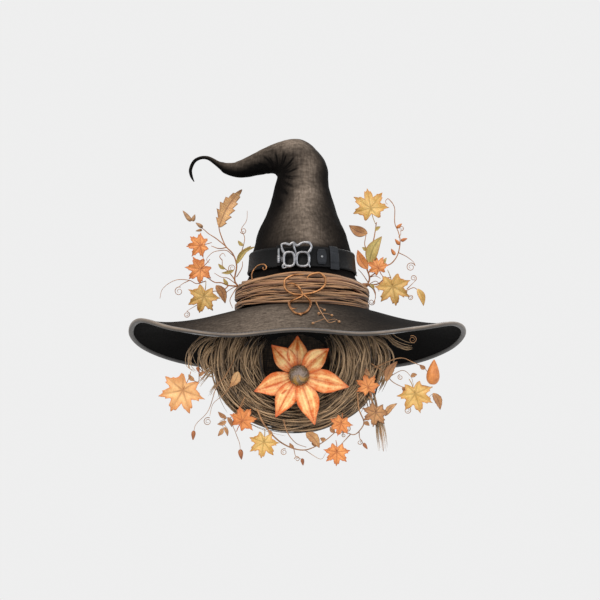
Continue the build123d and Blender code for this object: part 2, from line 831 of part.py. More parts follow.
def make_backing_disc():
    half_width = nest_hole_half_width + disc_overlap[0]
    half_height = nest_hole_half_height + disc_overlap[1]
    face = front_plane(nest_x, disc_back_y(), nest_z) * Ellipse(half_width, half_height)
    disc = extrude(face, disc_thickness)
    cut = Pos(nest_x, nest_back_y, nest_top + half_height) * Box(4 * half_width, nest_depth, 2 * half_height)
    hole = flower_axis(nest_back_y) * Cylinder(flower_pin_radius + wire_gap, 2 * nest_depth)
    return disc - cut - hole


# Garland

def vine_y():
    return nest_back_y - nest_depth - layer_gap - vine_radius


def make_vine():
    runs = [
        [(-64, -150), (-57, -179), (-43, -196), (-28, -208), (-12, -216), (4, -218), (19, -213),
         (34, -204), (48, -190), (58, -172)],
        [(-116, -104), (-133, -117), (-149, -118), (-158, -111), (-168, -118), (-172, -128)],
        [(108, -88), (130, -95), (147, -104), (158, -113), (163, -127)],
        [(155, -109), (170, -118), (186, -126)],
        [(78, -132), (81, -158), (88, -174), (83, -189), (73, -197), (62, -193)],
        [(86, -178), (98, -172), (106, -166)],
    ]
    return group(*join([flat_tube(points, vine_y(), vine_radius) for points in runs]))


def join(shapes):
    """Fuses all the shapes into as few as they make."""
    whole = shapes[0]
    for s in shapes[1:]:
        whole = whole + s
    return [whole]


def leaf_y():
    return vine_y() - vine_radius - layer_gap


def make_garland_leaves(name):
    maples = [maple_at(leaf_y(), row) for row in garland_maples[name]]
    return group(*maples, *[blade_at(leaf_y(), row) for row in garland_blades[name]])


def make_garland_buds():
    strands = [flat_tube(points, vine_y(), tendril_radius) for points in seed_strands]
    return group(*strands, buds_at(vine_y(), seeds), buds_at(leaf_y() - hanging_step, hanging_buds))


# Flower

def flower_axis(y):
    """A frame at a depth on the flower's axis, with its Z towards the back."""
    return Pos(flower_x, y, flower_z) * Rot(90, 0, 0)


def petals_back_y():
    return leaf_y() - leaf_thickness - 2 * layer_gap


def heart_back_y():
    return petals_back_y() - 2 * petal_pitch - leaf_thickness - layer_gap


def make_petal(index, angle, length, width):
    layer = 2 if index == len(petals) - 1 else index % 2
    y = petals_back_y() - layer * petal_pitch
    reach = length * 0.62
    outline = Polyline((petal_root, 3.2), (petal_root, -3.2), (reach * 0.6, -width * 0.36), (reach, -width / 2),
                       (length, 0), (reach, width / 2), (reach * 0.6, width * 0.36), close=True)
    return leaf(make_face(outline), flower_x, y, flower_z, angle)


def make_heart():
    """The seed head, with a hub behind it that turns on the pin."""
    back = petals_back_y() + layer_gap
    hub_length = back - heart_back_y() + 1
    hub = flower_axis(back - hub_length / 2) * Cylinder(flower_hub_radius, hub_length)
    dome_back = heart_back_y()
    ball = flower_axis(dome_back - 7) * Sphere(flower_heart_radius * 1.15)
    slab = flower_axis(dome_back - 4.5) * Cylinder(flower_heart_radius, 9)
    bore_end = dome_back - 3
    bore_length = back - bore_end + 5
    bore = flower_axis(bore_end + bore_length / 2) * Cylinder(flower_pin_radius + running_gap, bore_length)
    return (ball & slab) + hub - bore


def make_flower_pin():
    tip = heart_back_y() - 2.5
    back = disc_back_y() + 1.5
    shank = flower_axis((tip + back) / 2) * Cylinder(flower_pin_radius, back - tip)
    head = flower_axis(disc_back_y() + 0.1 + 0.75) * Cylinder(3 * flower_pin_radius, 1.5)
    return shank + head


# Everything, one file each

save(make_crown(), "crown")
save(make_brim(), "brim")
save(make_binding(), "brim_binding")
save(make_brim_wire(), "brim_wire")
save(make_sweatband(), "sweatband")
save(make_crown_wire(), "crown_wire")
fold_middle = sized([(*fold_hinge, *fold_gore_middle)])[0]
save(make_gore(sized(fold_rings)[-1], sized(peak_rings)[0], fold_middle, felt), "fold_gore")
save(make_peak(), "peak")
save(make_peak_wire(), "peak_wire")
tip_middle = tip_sized([(*tip_hinge, *tip_gore_middle)])[0]
save(make_gore(sized(peak_rings)[-1], tip_sized(tip_rings)[0], tip_middle, tip_gore_wall), "tip_gore")
save(make_tip(), "tip")
save(make_tip_wire(), "tip_wire")
save(make_twigs(twig_rows()[:thick_twigs]), "twig_wrap_lower")
save(make_twigs(twig_rows()[thick_twigs:]), "twig_wrap_upper")
save(make_belt(), "belt")
save(make_tab(), "belt_tab")
save(make_rivet(), "tab_rivet")
save(make_keeper(), "belt_keeper")
save(make_buckle_frame(), "buckle_frame")
save(make_buckle_bar(), "buckle_bar")
save(make_buckle_chape(), "buckle_chape")
save(make_scroll(), "scroll_wire")
save(make_sprig(), "sprig")
save(make_sockets(), "spray_sockets")

save(left_placed(make_left_stem()), "left_spray_stem")
save(left_placed(make_left_tendrils()), "left_spray_tendrils")
save(left_placed(buds_at(left_spray_y, left_buds)), "left_buds")
for name, row in left_blades.items():
    save(left_placed(blade_at(left_front(), row)), name)
for name, row in left_maples.items():
    save(left_placed(maple_at(left_front(), row)), name)

save(right_placed(make_right_stem()), "right_spray_stem")
save(right_placed(make_right_tendrils()), "right_spray_tendrils")
save(right_placed(buds_at(right_front() - right_bud_setback, right_buds)), "right_buds")
for name, row in right_blades.items():
    save(right_placed(blade_at(right_front(), row)), name)
for name, row in right_maples.items():
    save(right_placed(maple_at(right_front(), row)), name)
for name, (blade_row, maple_row) in right_pairs.items():
    save(right_placed(make_pair(blade_row, maple_row)), name)

save(make_eyelets(), "hanger_eyelets")
save(make_hanger_bar(), "hanger_bar")
save(make_hoop(), "hoop")
save(make_straw(-1), "straw_left")
save(make_straw(1), "straw_right")
save(make_backing_disc(), "backing_disc")
save(make_vine(), "garland_vine")
for name in garland_maples:
    save(make_garland_leaves(name), name)
save(make_garland_buds(), "garland_buds")
save(make_flower_pin(), "flower_pin")
save(make_heart(), "flower_heart")
for number, (direction, petal_length, petal_width) in enumerate(petals, 1):
    save(make_petal(number - 1, direction, petal_length, petal_width), f"petal_{number}")
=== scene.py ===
import math
import bmesh
import bpy
import numpy as np
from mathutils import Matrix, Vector, noise


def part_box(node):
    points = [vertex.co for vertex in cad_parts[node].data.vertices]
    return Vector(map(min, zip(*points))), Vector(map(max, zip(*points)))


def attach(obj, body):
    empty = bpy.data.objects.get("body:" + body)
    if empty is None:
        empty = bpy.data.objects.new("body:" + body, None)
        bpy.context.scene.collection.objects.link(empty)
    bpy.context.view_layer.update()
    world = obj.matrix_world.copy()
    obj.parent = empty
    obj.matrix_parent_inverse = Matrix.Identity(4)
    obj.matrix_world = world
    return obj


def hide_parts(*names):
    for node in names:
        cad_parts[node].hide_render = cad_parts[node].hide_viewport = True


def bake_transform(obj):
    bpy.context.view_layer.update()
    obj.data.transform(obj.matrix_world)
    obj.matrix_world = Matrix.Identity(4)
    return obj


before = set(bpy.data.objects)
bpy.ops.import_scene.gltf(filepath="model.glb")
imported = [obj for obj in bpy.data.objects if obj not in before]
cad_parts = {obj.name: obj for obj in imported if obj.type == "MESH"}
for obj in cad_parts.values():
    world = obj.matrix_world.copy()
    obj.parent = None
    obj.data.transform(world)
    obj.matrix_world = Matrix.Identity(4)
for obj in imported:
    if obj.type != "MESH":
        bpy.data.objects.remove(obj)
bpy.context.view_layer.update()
rng = np.random.default_rng(41)
# Marks per point: tone, along, vein and rim. On the felt, binding, twigs and straw these also carry painted
# highlight and painted shade
markNames = ("tone", "along", "vein", "rim")


# Curves and meshes. All shapes below are written in millimetres.

def spline(points, count, closed=False):
    p = np.asarray(points, float)
    spans = len(p) if closed else len(p) - 1
    ends = (p[-1:], p[:2]) if closed else (2 * p[:1] - p[1:2], 2 * p[-1:] - p[-2:-1])
    p = np.vstack([ends[0], p, ends[1]])
    t = np.linspace(0, spans, count, endpoint=not closed)
    i = np.minimum(t.astype(int), spans - 1)
    u = (t - i)[:, None]
    a, b, c, d = p[i], p[i + 1], p[i + 2], p[i + 3]
    return 0.5 * (2 * b + (c - a) * u + (2 * a - 5 * b + 4 * c - d) * u ** 2
                  + (3 * b - a - 3 * c + d) * u ** 3)


def evenly(points, count):
    p = spline(points, max(60, count * 3))
    reach = np.concatenate([[0], np.cumsum(np.linalg.norm(np.diff(p, axis=0), axis=1))])
    at = np.linspace(0, reach[-1], count)
    return np.stack([np.interp(at, reach, p[:, k]) for k in range(p.shape[1])], axis=1)


def unit(v):
    v = np.asarray(v, float)
    return v / np.maximum(np.linalg.norm(v, axis=-1, keepdims=True), 1e-9)


def gridFaces(rows, columns, wrapColumns, wrapRows=False):
    r = np.arange(rows if wrapRows else rows - 1)[:, None]
    c = np.arange(columns if wrapColumns else columns - 1)[None, :]
    down, right = (r + 1) % rows, (c + 1) % columns
    quads = np.stack([r * columns + c, r * columns + right, down * columns + right, down * columns + c],
                     axis=-1)
    return quads.reshape(-1, 4)


def smoothNoise(points, size, seed):
    return np.array([noise.noise(Vector(p) / size + Vector((seed, 0, 0))) for p in points.reshape(-1, 3)])


def limited(value):
    return np.clip(value, 0, 1)


def circle(count):
    return np.linspace(0, 2 * np.pi, count, endpoint=False)


def taper(count, places, sizes):
    return np.interp(np.linspace(0, 1, count), places, sizes)


# A wave pushed towards a square wave, for rounded boxes
def squared(wave, power):
    return np.sign(wave) * np.abs(wave) ** power


# One value per ring of a tube, and one for each end
def perRing(values, sides):
    return np.concatenate([np.repeat(values, sides), values[:1], values[-1:]])


# A bell of height 1 about zero
def bell(off):
    return np.exp(-off ** 2)


class Shape:
    def __init__(self):
        self.points, self.faces, self.marks = [], [], {name: [] for name in markNames}
        self.count = 0

    def add(self, points, faces, **marks):
        points = np.asarray(points, float).reshape(-1, 3)
        self.faces += [tuple(self.count + i for i in face) for face in faces]
        self.points.append(points)
        for name in markNames:
            value = np.asarray(marks.get(name, 0.0), float).reshape(-1)
            self.marks[name].append(np.broadcast_to(value, len(points)) if value.size == 1 else value)
        self.count += len(points)


def addTube(shape, path, radius, sides, axis=(0, 1, 0), depth=1.0, closed=False, tone=0.5, vein=0.0):
    path = np.asarray(path, float)
    n = len(path)
    run = np.roll(path, -1, axis=0) - np.roll(path, 1, axis=0) if closed else np.gradient(path, axis=0)
    run = unit(run)
    side = unit(np.cross(run, np.asarray(axis, float)))
    up = np.cross(side, run)
    turn = circle(sides)
    r = np.broadcast_to(np.asarray(radius, float), n)[:, None, None]
    ring = (np.cos(turn)[None, :, None] * side[:, None, :]
            + depth * np.sin(turn)[None, :, None] * up[:, None, :])
    points = (path[:, None, :] + r * ring).reshape(-1, 3)
    along = np.repeat(np.linspace(0, 1, n), sides)
    faces = gridFaces(n, sides, True, closed).tolist()
    if not closed:
        points = np.vstack([points, path[:1], path[-1:]])
        along = np.concatenate([along, [0, 1]])
        last = (n - 1) * sides
        faces += [(n * sides, (k + 1) % sides, k) for k in range(sides)]
        faces += [(n * sides + 1, last + k, last + (k + 1) % sides) for k in range(sides)]
    shape.add(points, faces, along=along, tone=tone, vein=vein)


# A sheet with two faces, closed along its rim
def addShell(shape, front, back, wrap=False, **marks):
    rows, columns = front.shape[:2]
    size = rows * columns
    faces = gridFaces(rows, columns, wrap).tolist()
    faces += [tuple(size + i for i in face[::-1]) for face in faces]
    last = (rows - 1) * columns
    turns = columns if wrap else columns - 1
    for k in range(turns):
        j = (k + 1) % columns
        faces.append((k, size + k, size + j, j))
        faces.append((last + k, last + j, size + last + j, size + last + k))
    if not wrap:
        for k in range(rows - 1):
            a, b = k * columns, (k + 1) * columns
            faces.append((a, b, size + b, size + a))
            faces.append((a + columns - 1, size + a + columns - 1, size + b + columns - 1, b + columns - 1))
    doubled = {}
    for name, value in marks.items():
        value = np.asarray(value, float).reshape(-1)
        doubled[name] = np.tile(value, 2) if value.size > 1 else value
    shape.add(np.vstack([front.reshape(-1, 3), back.reshape(-1, 3)]), faces, **doubled)


def addBall(shape, centre, radii, rows, sides, lean=None, tone=0.5, vein=0.0):
    tilt = np.linspace(0, np.pi, rows + 1)[1:-1]
    turn = circle(sides)
    ring = np.stack([np.outer(np.sin(tilt), np.cos(turn)), np.outer(np.sin(tilt), np.sin(turn)),
                     np.outer(np.cos(tilt), np.ones(sides))], axis=-1).reshape(-1, 3)
    local = np.vstack([ring, [[0, 0, 1], [0, 0, -1]]]) * np.asarray(radii, float)
    if lean is not None:
        z = unit(lean)
        x = unit(np.cross([0, 1, 0.01], z))
        local = local @ np.stack([x, np.cross(z, x), z])
    top, n = len(ring), rows - 1
    faces = gridFaces(n, sides, True).tolist()
    faces += [(top, (k + 1) % sides, k) for k in range(sides)]
    faces += [(top + 1, (n - 1) * sides + k, (n - 1) * sides + (k + 1) % sides) for k in range(sides)]
    along = np.concatenate([np.repeat(1 - tilt / np.pi, sides), [1, 0]])
    shape.add(local + np.asarray(centre, float), faces, along=along, tone=tone, vein=vein)


def addBud(shape, start, end, width, rows, sides, tone=0.5):
    start, end = np.asarray(start, float), np.asarray(end, float)
    s = np.linspace(0.02, 1, rows)
    path = start + np.outer(s, end - start)
    radius = width / 2 * np.sin(np.pi * s ** 0.62) ** 0.8 + 0.15
    addTube(shape, path, radius, sides, tone=tone)


# Makes the mesh in metres and hangs it on its body
def build(name, shape, material, body, nodes=(), weld=False):
    mesh = bpy.data.meshes.new(name)
    mesh.from_pydata((np.vstack(shape.points) * 0.001).tolist(), [], shape.faces)
    for mark, rows in shape.marks.items():
        mesh.attributes.new(mark, "FLOAT", "POINT").data.foreach_set("value", np.concatenate(rows))
    work = bmesh.new()
    work.from_mesh(mesh)
    if weld:
        bmesh.ops.remove_doubles(work, verts=work.verts, dist=0.00001)
        bmesh.ops.dissolve_degenerate(work, dist=0.000001, edges=work.edges)
    bmesh.ops.recalc_face_normals(work, faces=work.faces)
    work.to_mesh(mesh)
    work.free()
    mesh.shade_smooth()
    mesh.materials.append(material)
    obj = bpy.data.objects.new(name, mesh)
    bpy.context.scene.collection.objects.link(obj)
    if nodes:
        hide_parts(*nodes)
    if body:
        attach(obj, body)
    return obj


# Materials

def paint(code):
    parts = [int(code[i:i + 2], 16) / 255 for i in (0, 2, 4)]
    return tuple(((c + 0.055) / 1.055) ** 2.4 if c > 0.04 else c / 12.92 for c in parts) + (1.0,)


def addNode(tree, kind, inputs=(), **settings):
    node = tree.nodes.new(kind)
    for key, value in settings.items():
        setattr(node, key, value)
    for key, value in dict(inputs).items():
        if isinstance(value, bpy.types.NodeSocket):
            tree.links.new(value, node.inputs[key])
        else:
            node.inputs[key].default_value = value
    return node


def mixed(tree, share, low, high, mode="MIX"):
    node = addNode(tree, "ShaderNodeMix", {0: share, 6: low, 7: high}, data_type="RGBA", blend_type=mode)
    return node.outputs[2]


def maths(tree, operation, a, b=0.5, c=0.5, clamp=False):
    return addNode(tree, "ShaderNodeMath", {0: a, 1: b, 2: c}, operation=operation,
                   use_clamp=clamp).outputs[0]


def newGroup(name, inputs, outputs):
    tree = bpy.data.node_groups.new(name, "ShaderNodeTree")
    for label, kind, value in inputs:
        socket = tree.interface.new_socket(name=label, in_out="INPUT", socket_type="NodeSocket" + kind)
        if value is not None:
            socket.default_value = value
    for label, kind in outputs:
        tree.interface.new_socket(name=label, in_out="OUTPUT", socket_type="NodeSocket" + kind)
    source = tree.nodes.new("NodeGroupInput").outputs
    return tree, source, tree.nodes.new("NodeGroupOutput").inputs


def makeMottleGroup():
    tree, source, sink = newGroup(
        "Mottle", [("Place", "Vector", None), ("Low", "Color", (0.1, 0.1, 0.1, 1)),
                   ("High", "Color", (0.5, 0.5, 0.5, 1)),
                   ("Scale", "Float", 40.0), ("Fine Scale", "Float", 600.0), ("Tone", "Float", 0.5),
                   ("Tone Share", "Float", 0.5), ("Contrast", "Float", 2.2)],
        [("Color", "Color"), ("Height", "Float")])
    broad = addNode(tree, "ShaderNodeTexNoise", {"Vector": source["Place"], "Scale": source["Scale"],
                                                 "Detail": 4.0, "Roughness": 0.6})
    fine = addNode(tree, "ShaderNodeTexNoise", {"Vector": source["Place"], "Scale": source["Fine Scale"],
                                                "Detail": 3.0})
    both = maths(tree, "MULTIPLY_ADD", fine.outputs[0], 0.45, broad.outputs[0])
    centred = maths(tree, "SUBTRACT", both, 0.72)
    toned = addNode(tree, "ShaderNodeMix", {0: source["Tone Share"], 2: 0.5, 3: source["Tone"]},
                    data_type="FLOAT")
    share = maths(tree, "MULTIPLY_ADD", centred, source["Contrast"], toned.outputs[0], clamp=True)
    tree.links.new(mixed(tree, share, source["Low"], source["High"]), sink["Color"])
    tree.links.new(both, sink["Height"])
    return tree


def makeStreakGroup():
    tree, source, sink = newGroup(
        "Streaks", [("Place", "Vector", None), ("Stretch", "Vector", (1.0, 1.0, 1.0)),
                    ("Scale", "Float", 200.0),
                    ("Sharpness", "Float", 3.0)],
        [("Value", "Float"), ("Height", "Float")])
    scaled = addNode(tree, "ShaderNodeVectorMath", {0: source["Place"], 1: source["Stretch"]},
                     operation="MULTIPLY")
    wave = addNode(tree, "ShaderNodeTexNoise", {"Vector": scaled.outputs[0], "Scale": source["Scale"],
                                                "Detail": 2.5, "Roughness": 0.55, "Distortion": 0.3})
    centred = maths(tree, "SUBTRACT", wave.outputs[0], 0.5)
    sharp = maths(tree, "MULTIPLY", centred, source["Sharpness"])
    value = maths(tree, "ADD", sharp, 0.5, clamp=True)
    tree.links.new(value, sink["Value"])
    tree.links.new(wave.outputs[0], sink["Height"])
    return tree


def makeGrainGroup():
    tree, source, sink = newGroup(
        "Hide Grain", [("Place", "Vector", None), ("Scale", "Float", 500.0)],
        [("Height", "Float"), ("Mask", "Float")])
    cells = addNode(tree, "ShaderNodeTexVoronoi", {"Vector": source["Place"], "Scale": source["Scale"]},
                    feature="DISTANCE_TO_EDGE")
    deep = maths(tree, "MULTIPLY", cells.outputs[0], 3.0, clamp=True)
    tree.links.new(deep, sink["Height"])
    tree.links.new(maths(tree, "SUBTRACT", 1.0, deep), sink["Mask"])
    return tree


groups = {"mottle": makeMottleGroup(), "streaks": makeStreakGroup(), "grain": makeGrainGroup()}


class Look:
    def __init__(self, name, roughness=0.6, metallic=0.0, **fixed):
        self.material = bpy.data.materials.new(name)
        self.material.use_nodes = True
        self.tree = self.material.node_tree
        self.shader = self.tree.nodes["Principled BSDF"]
        self.shader.inputs["Roughness"].default_value = roughness
        self.shader.inputs["Metallic"].default_value = metallic
        for key, value in fixed.items():
            self.shader.inputs[key].default_value = value
        self.place = self.tree.nodes.new("ShaderNodeTexCoord").outputs["Object"]

    def group(self, name, inputs):
        node = self.tree.nodes.new("ShaderNodeGroup")
        node.node_tree = groups[name]
        self.tree.links.new(self.place, node.inputs["Place"])
        for label, value in inputs.items():
            if isinstance(value, bpy.types.NodeSocket):
                self.tree.links.new(value, node.inputs[label])
            else:
                node.inputs[label].default_value = value
        return node.outputs

    def cloud(self, low, high, scale, fine, share=None, contrast=2.2):
        inputs = {"Low": paint(low), "High": paint(high), "Scale": scale, "Fine Scale": fine, "Contrast": contrast}
        if share is not None:
            inputs.update({"Tone": self.mark("tone"), "Tone Share": share})
        return self.group("mottle", inputs)

    def streaks(self, stretch, scale, sharpness):
        return self.group("streaks", {"Stretch": stretch, "Scale": scale, "Sharpness": sharpness})

    def faded(self, name, share):
        return self.maths("MULTIPLY", self.mark(name), share)

    def mark(self, name):
        return addNode(self.tree, "ShaderNodeAttribute", attribute_name=name).outputs["Fac"]

    def mix(self, share, low, high, mode="MIX"):
        return mixed(self.tree, share, low, high, mode)

    def maths(self, operation, a, b=0.5, c=0.5, clamp=False):
        return maths(self.tree, operation, a, b, c, clamp)

    def use(self, label, socket):
        self.tree.links.new(socket, self.shader.inputs[label])
        return self

    def bump(self, height, strength, distance):
        node = addNode(self.tree, "ShaderNodeBump", {"Height": height, "Strength": strength,
                                                     "Distance": distance})
        return self.use("Normal", node.outputs[0])

    def vary(self, label, mask, low, high):
        node = addNode(self.tree, "ShaderNodeMapRange", {"Value": mask, "To Min": low, "To Max": high})
        return self.use(label, node.outputs[0])


def makeFelt():
    look = Look("feltBlack", 0.62, **{"Specular IOR Level": 0.04})
    cloud = look.cloud("050404", "131110", 14.0, 420.0)
    strokes = look.streaks((1.0, 1.0, 0.12), 330.0, 3.2)
    cross = look.streaks((0.35, 1.0, 1.0), 240.0, 2.6)
    # Painted highlight: the vein mark, streaked, mixes the felt towards the pale highlight colours
    paintedHighlight = look.maths("MULTIPLY", look.mark("vein"), look.maths("MULTIPLY_ADD", strokes["Value"], 0.45, 0.62))
    light = look.mix(cross["Value"], paint("655a50"), paint("8a7d71"))
    colour = look.mix(paintedHighlight, cloud["Color"], light)
    # Painted shade: the rim mark darkens the felt towards near black in creases and on undersides
    colour = look.mix(look.mark("rim"), colour, paint("050505"))
    look.use("Base Color", colour)
    both = look.maths("ADD", strokes["Height"], cross["Height"])
    look.bump(look.maths("ADD", both, cloud["Height"]), 0.3, 0.0012)
    look.vary("Roughness", cloud["Height"], 0.72, 0.92)
    return look.material


def makeRibbon():
    look = Look("ribbonEdge", 0.55, **{"Sheen Weight": 0.2})
    cloud = look.cloud("54483e", "958574", 22.0, 700.0)
    weave = look.streaks((1.0, 1.0, 1.0), 1500.0, 2.0)
    pale = look.mix(look.maths("MULTIPLY", weave["Value"], 0.35), cloud["Color"], paint("4c4039"))
    # Painted highlight: the vein mark turns the dark binding pale along its upper outer edge
    look.use("Base Color", look.mix(look.mark("vein"), paint("1d1a18"), pale))
    return look.bump(weave["Height"], 0.4, 0.0004).material


def makeTwig():
    look = Look("twigWood", 0.55)
    # The tone mark carries random strand tone and the painted highlight and shade of each strand
    cloud = look.cloud("0d0704", "bc8f66", 40.0, 500.0, 1.0, contrast=0.5)
    bark = look.streaks((0.1, 0.1, 1.6), 420.0, 2.2)
    ruddy = look.mix(look.faded("vein", 0.35), cloud["Color"], paint("7d4326"))
    colour = look.mix(look.maths("MULTIPLY", bark["Value"], 0.25), ruddy, paint("24150c"))
    look.use("Base Color", colour)
    return look.bump(bark["Height"], 0.45, 0.0006).material


def makeStraw():
    look = Look("straw", 0.6)
    cloud = look.cloud("2a1f16", "b59672", 40.0, 800.0, 1.0)
    # Painted shade: the vein mark darkens the straw towards near black
    dark = look.faded("vein", 0.85)
    look.use("Base Color", look.mix(dark, cloud["Color"], paint("16110e")))
    return look.bump(cloud["Height"], 0.3, 0.0005).material


def makeLeather(name, low, high, roughness, scale=650.0, coat=0.0):
    look = Look(name, roughness, **{"Coat Weight": coat, "Coat Roughness": 0.3, "Specular IOR Level": 0.14})
    cloud = look.cloud(low, high, 30.0, 500.0)
    grain = look.group("grain", {"Scale": scale})
    dark = look.maths("MULTIPLY", grain["Mask"], 0.35)
    look.use("Base Color", look.mix(dark, cloud["Color"], paint("080808")))
    look.vary("Roughness", cloud["Height"], roughness - 0.1, roughness + 0.15)
    return look.bump(grain["Height"], 0.35, 0.0005).material


def makeMetal(name, low, high, roughness):
    look = Look(name, roughness, 1.0)
    cloud = look.cloud(low, high, 120.0, 1100.0)
    look.use("Base Color", cloud["Color"])
    look.vary("Roughness", cloud["Height"], max(0.08, roughness - 0.14), roughness + 0.22)
    return look.bump(cloud["Height"], 0.25, 0.0006).material


def makeLeaf(name, low, high, veinColour, rimColour):
    look = Look(name, 0.5, **{"Subsurface Weight": 0.12, "Subsurface Radius": (0.003, 0.0015, 0.0006)})
    cloud = look.cloud(low, high, 60.0, 650.0, 0.6)
    rim = look.faded("rim", 0.85)
    colour = look.mix(rim, cloud["Color"], paint(rimColour))
    colour = look.mix(look.faded("vein", 0.75), colour, paint(veinColour))
    look.use("Base Color", colour)
    height = look.maths("ADD", cloud["Height"], look.mark("vein"))
    return look.bump(height, 0.35, 0.0007).material


def makeWood(name, low, high):
    look = Look(name, 0.5)
    cloud = look.cloud(low, high, 90.0, 900.0, 0.5)
    bark = look.streaks((1.0, 1.0, 0.3), 600.0, 2.5)
    look.use("Base Color", look.mix(look.maths("MULTIPLY", bark["Value"], 0.4), cloud["Color"], paint(low)))
    return look.bump(bark["Height"], 0.4, 0.0005).material


def makePetal():
    look = Look("petalSilk", 0.42, **{"Subsurface Weight": 0.15, "Subsurface Radius": (0.004, 0.002, 0.0008),
                                      "Sheen Weight": 0.2})
    cloud = look.cloud("d96a1c", "fbd08c", 70.0, 500.0, 1.0)
    colour = look.mix(look.mark("rim"), cloud["Color"], paint("b8481a"))
    colour = look.mix(look.faded("vein", 0.7), colour, paint("a63c12"))
    look.use("Base Color", colour)
    height = look.maths("SUBTRACT", cloud["Height"], look.mark("vein"))
    return look.bump(height, 0.35, 0.0007).material


def makeSeed():
    look = Look("seedHead", 0.4, **{"Coat Weight": 0.2})
    cloud = look.cloud("4a3a1c", "9a8a82", 200.0, 1500.0, 1.0)
    colour = look.mix(look.mark("vein"), cloud["Color"], paint("b98b2e"))
    look.use("Base Color", colour)
    return look.bump(cloud["Height"], 0.3, 0.0004).material


def makeBurlap():
    look = Look("burlap", 0.85, **{"Sheen Weight": 0.2})
    warp = look.streaks((1.0, 1.0, 0.08), 900.0, 4.0)
    weft = look.streaks((0.08, 1.0, 1.0), 900.0, 4.0)
    cloth = look.maths("MULTIPLY", warp["Value"], weft["Value"])
    look.use("Base Color", look.mix(cloth, paint("1d1712"), paint("5b4a38")))
    return look.bump(look.maths("ADD", warp["Height"], weft["Height"]), 0.6, 0.0008).material


looks = {
    "felt": makeFelt(), "ribbon": makeRibbon(), "twig": makeTwig(), "straw": makeStraw(),
    "petal": makePetal(),
    "seed": makeSeed(), "burlap": makeBurlap(),
    "belt": makeLeather("beltLeather", "020203", "090a0c", 0.45, coat=0.02),
    "tab": makeLeather("tabLeather", "17191c", "34373c", 0.42, 900.0),
    "band": makeLeather("sweatbandLeather", "3c2a1d", "6f523a", 0.5),
    "silver": makeMetal("buckleSilver", "66676b", "b6b7ba", 0.3),
    "steel": makeMetal("steelWire", "6f7174", "a9abad", 0.35),
    "copper": makeMetal("copperWire", "7a4e30", "d29c6c", 0.34),
    "stem": makeWood("stemWire", "7c4a26", "c98d55"),
    "vine": makeWood("vineWood", "6e4a2e", "b98a5c"),
    "bud": makeWood("budWood", "9a4f22", "dc8f4a"),
    "seedDrop": makeWood("seedDrop", "6f3a22", "b5713f"),
    "orange": makeLeaf("leafOrange", "c06a2c", "eda25c", "8f4517", "b05a22"),
    "yellow": makeLeaf("leafYellow", "b98a35", "e8c37c", "94722c", "b87634"),
    "brown": makeLeaf("leafBrown", "8b5a34", "c2905c", "5e3a20", "6d4426"),
    "amber": makeLeaf("amberLeaf", "c4844a", "efc084", "9c6636", "c9773a"),
    "budTan": makeWood("budTan", "6a472a", "bd9468"),
    "tan": makeLeaf("leafTan", "9c6a3c", "d8ab74", "74472a", "8a5830"),
    "green": makeLeaf("leafGreen", "8f7c38", "c9b066", "6a5c2a", "9c6a2c"),
}
print("materials made")


# Crown and peak

crownProfile = [
    (95.3, 0), (95.3, 28), (90.5, 37), (84.5, 46), (79.3, 57), (78, 70), (77, 84), (73, 97), (66.5, 121.5),
    (54, 150), (46.5, 173.4), (41.2, 195),
]
crownSettings = {
    "fold": [
        (-0.5, 217.5, 38.8, 15), (-7.5, 230, 36.7, 31), (-21.5, 240, 33.1, 52), (-39.5, 239.4, 26.8, 69),
        (-60, 232.7, 20.8, 82), (-85.3, 222.9, 14.5, 97), (-101, 219.9, 11.5, 90),
    ],
    "tip": [
        (-85.3, 222.9, 14.4, 97), (-101, 219.9, 11.4, 90), (-116.3, 222.3, 8.3, 76),
        (-122.4, 225.8, 6.2, 68), (-128.6, 229.2, 4.4, 61), (-142.2, 237.6, 3.0, 73),
        (-154, 238.4, 2.5, 99), (-164.2, 232.7, 2.6, 135), (-169.7, 220.2, 2.6, 171),
        (-168.3, 209.7, 2.1, 194), (-164.2, 201.3, 0.6, 205),
    ],
    "crease": (-38, 209), "rings": 190, "sides": 160, "wall": 2.3, "dent": 1.2, "crease depth": 0.45,
    "tip rings": 110, "tip sides": 56, "tip wall": 1.4,
}


def crownRadius(z):
    radii, heights = zip(*crownProfile)
    return np.interp(z, heights, radii)


# Rows of x, z, radius and lean to circles of points, and their centres
def ringGrid(rings, count, sides, shrink=0.0):
    x, z, r, lean = evenly(rings, count).T
    lean = np.radians(lean)
    turn = circle(sides)
    r = np.maximum(r - shrink, 0.25)
    across = r[:, None] * np.cos(turn)
    points = np.stack([x[:, None] + across * np.cos(lean)[:, None], r[:, None] * np.sin(turn),
                       z[:, None] + across * np.sin(lean)[:, None]], axis=-1)
    centre = np.stack([x, 0 * x, z], axis=-1)[:, None, :]
    return points, centre


# Folds that run out from the inside of the bend, over soft dents
def creased(points, centre, settings):
    flat = points.reshape(-1, 3)
    outward = unit(points - centre).reshape(-1, 3)
    dx, dz = flat[:, 0] - settings["crease"][0], flat[:, 2] - settings["crease"][1]
    reach = np.hypot(dx, dz)
    angle = np.arctan2(dz, dx)
    fade = bell((reach - 20) / 24) * limited(reach / 12)
    folds = fade * (0.45 * np.cos(13 * angle + 2.6 * np.sin(reach / 11) + 0.6 * np.sign(flat[:, 1]))
                    + 0.5 * np.cos(34 * angle + 2.0 * np.sin(reach / 7)) * limited(1.2 - reach / 45))
    soft = smoothNoise(flat, 26, 3.0) + smoothNoise(flat, 9, 8.0) * 0.35
    calm = limited((flat[:, 2] - 92) / 20)
    shift = settings["crease depth"] * folds + settings["dent"] * soft * calm
    return (flat + outward * shift[:, None]).reshape(points.shape), folds.reshape(points.shape[:2])


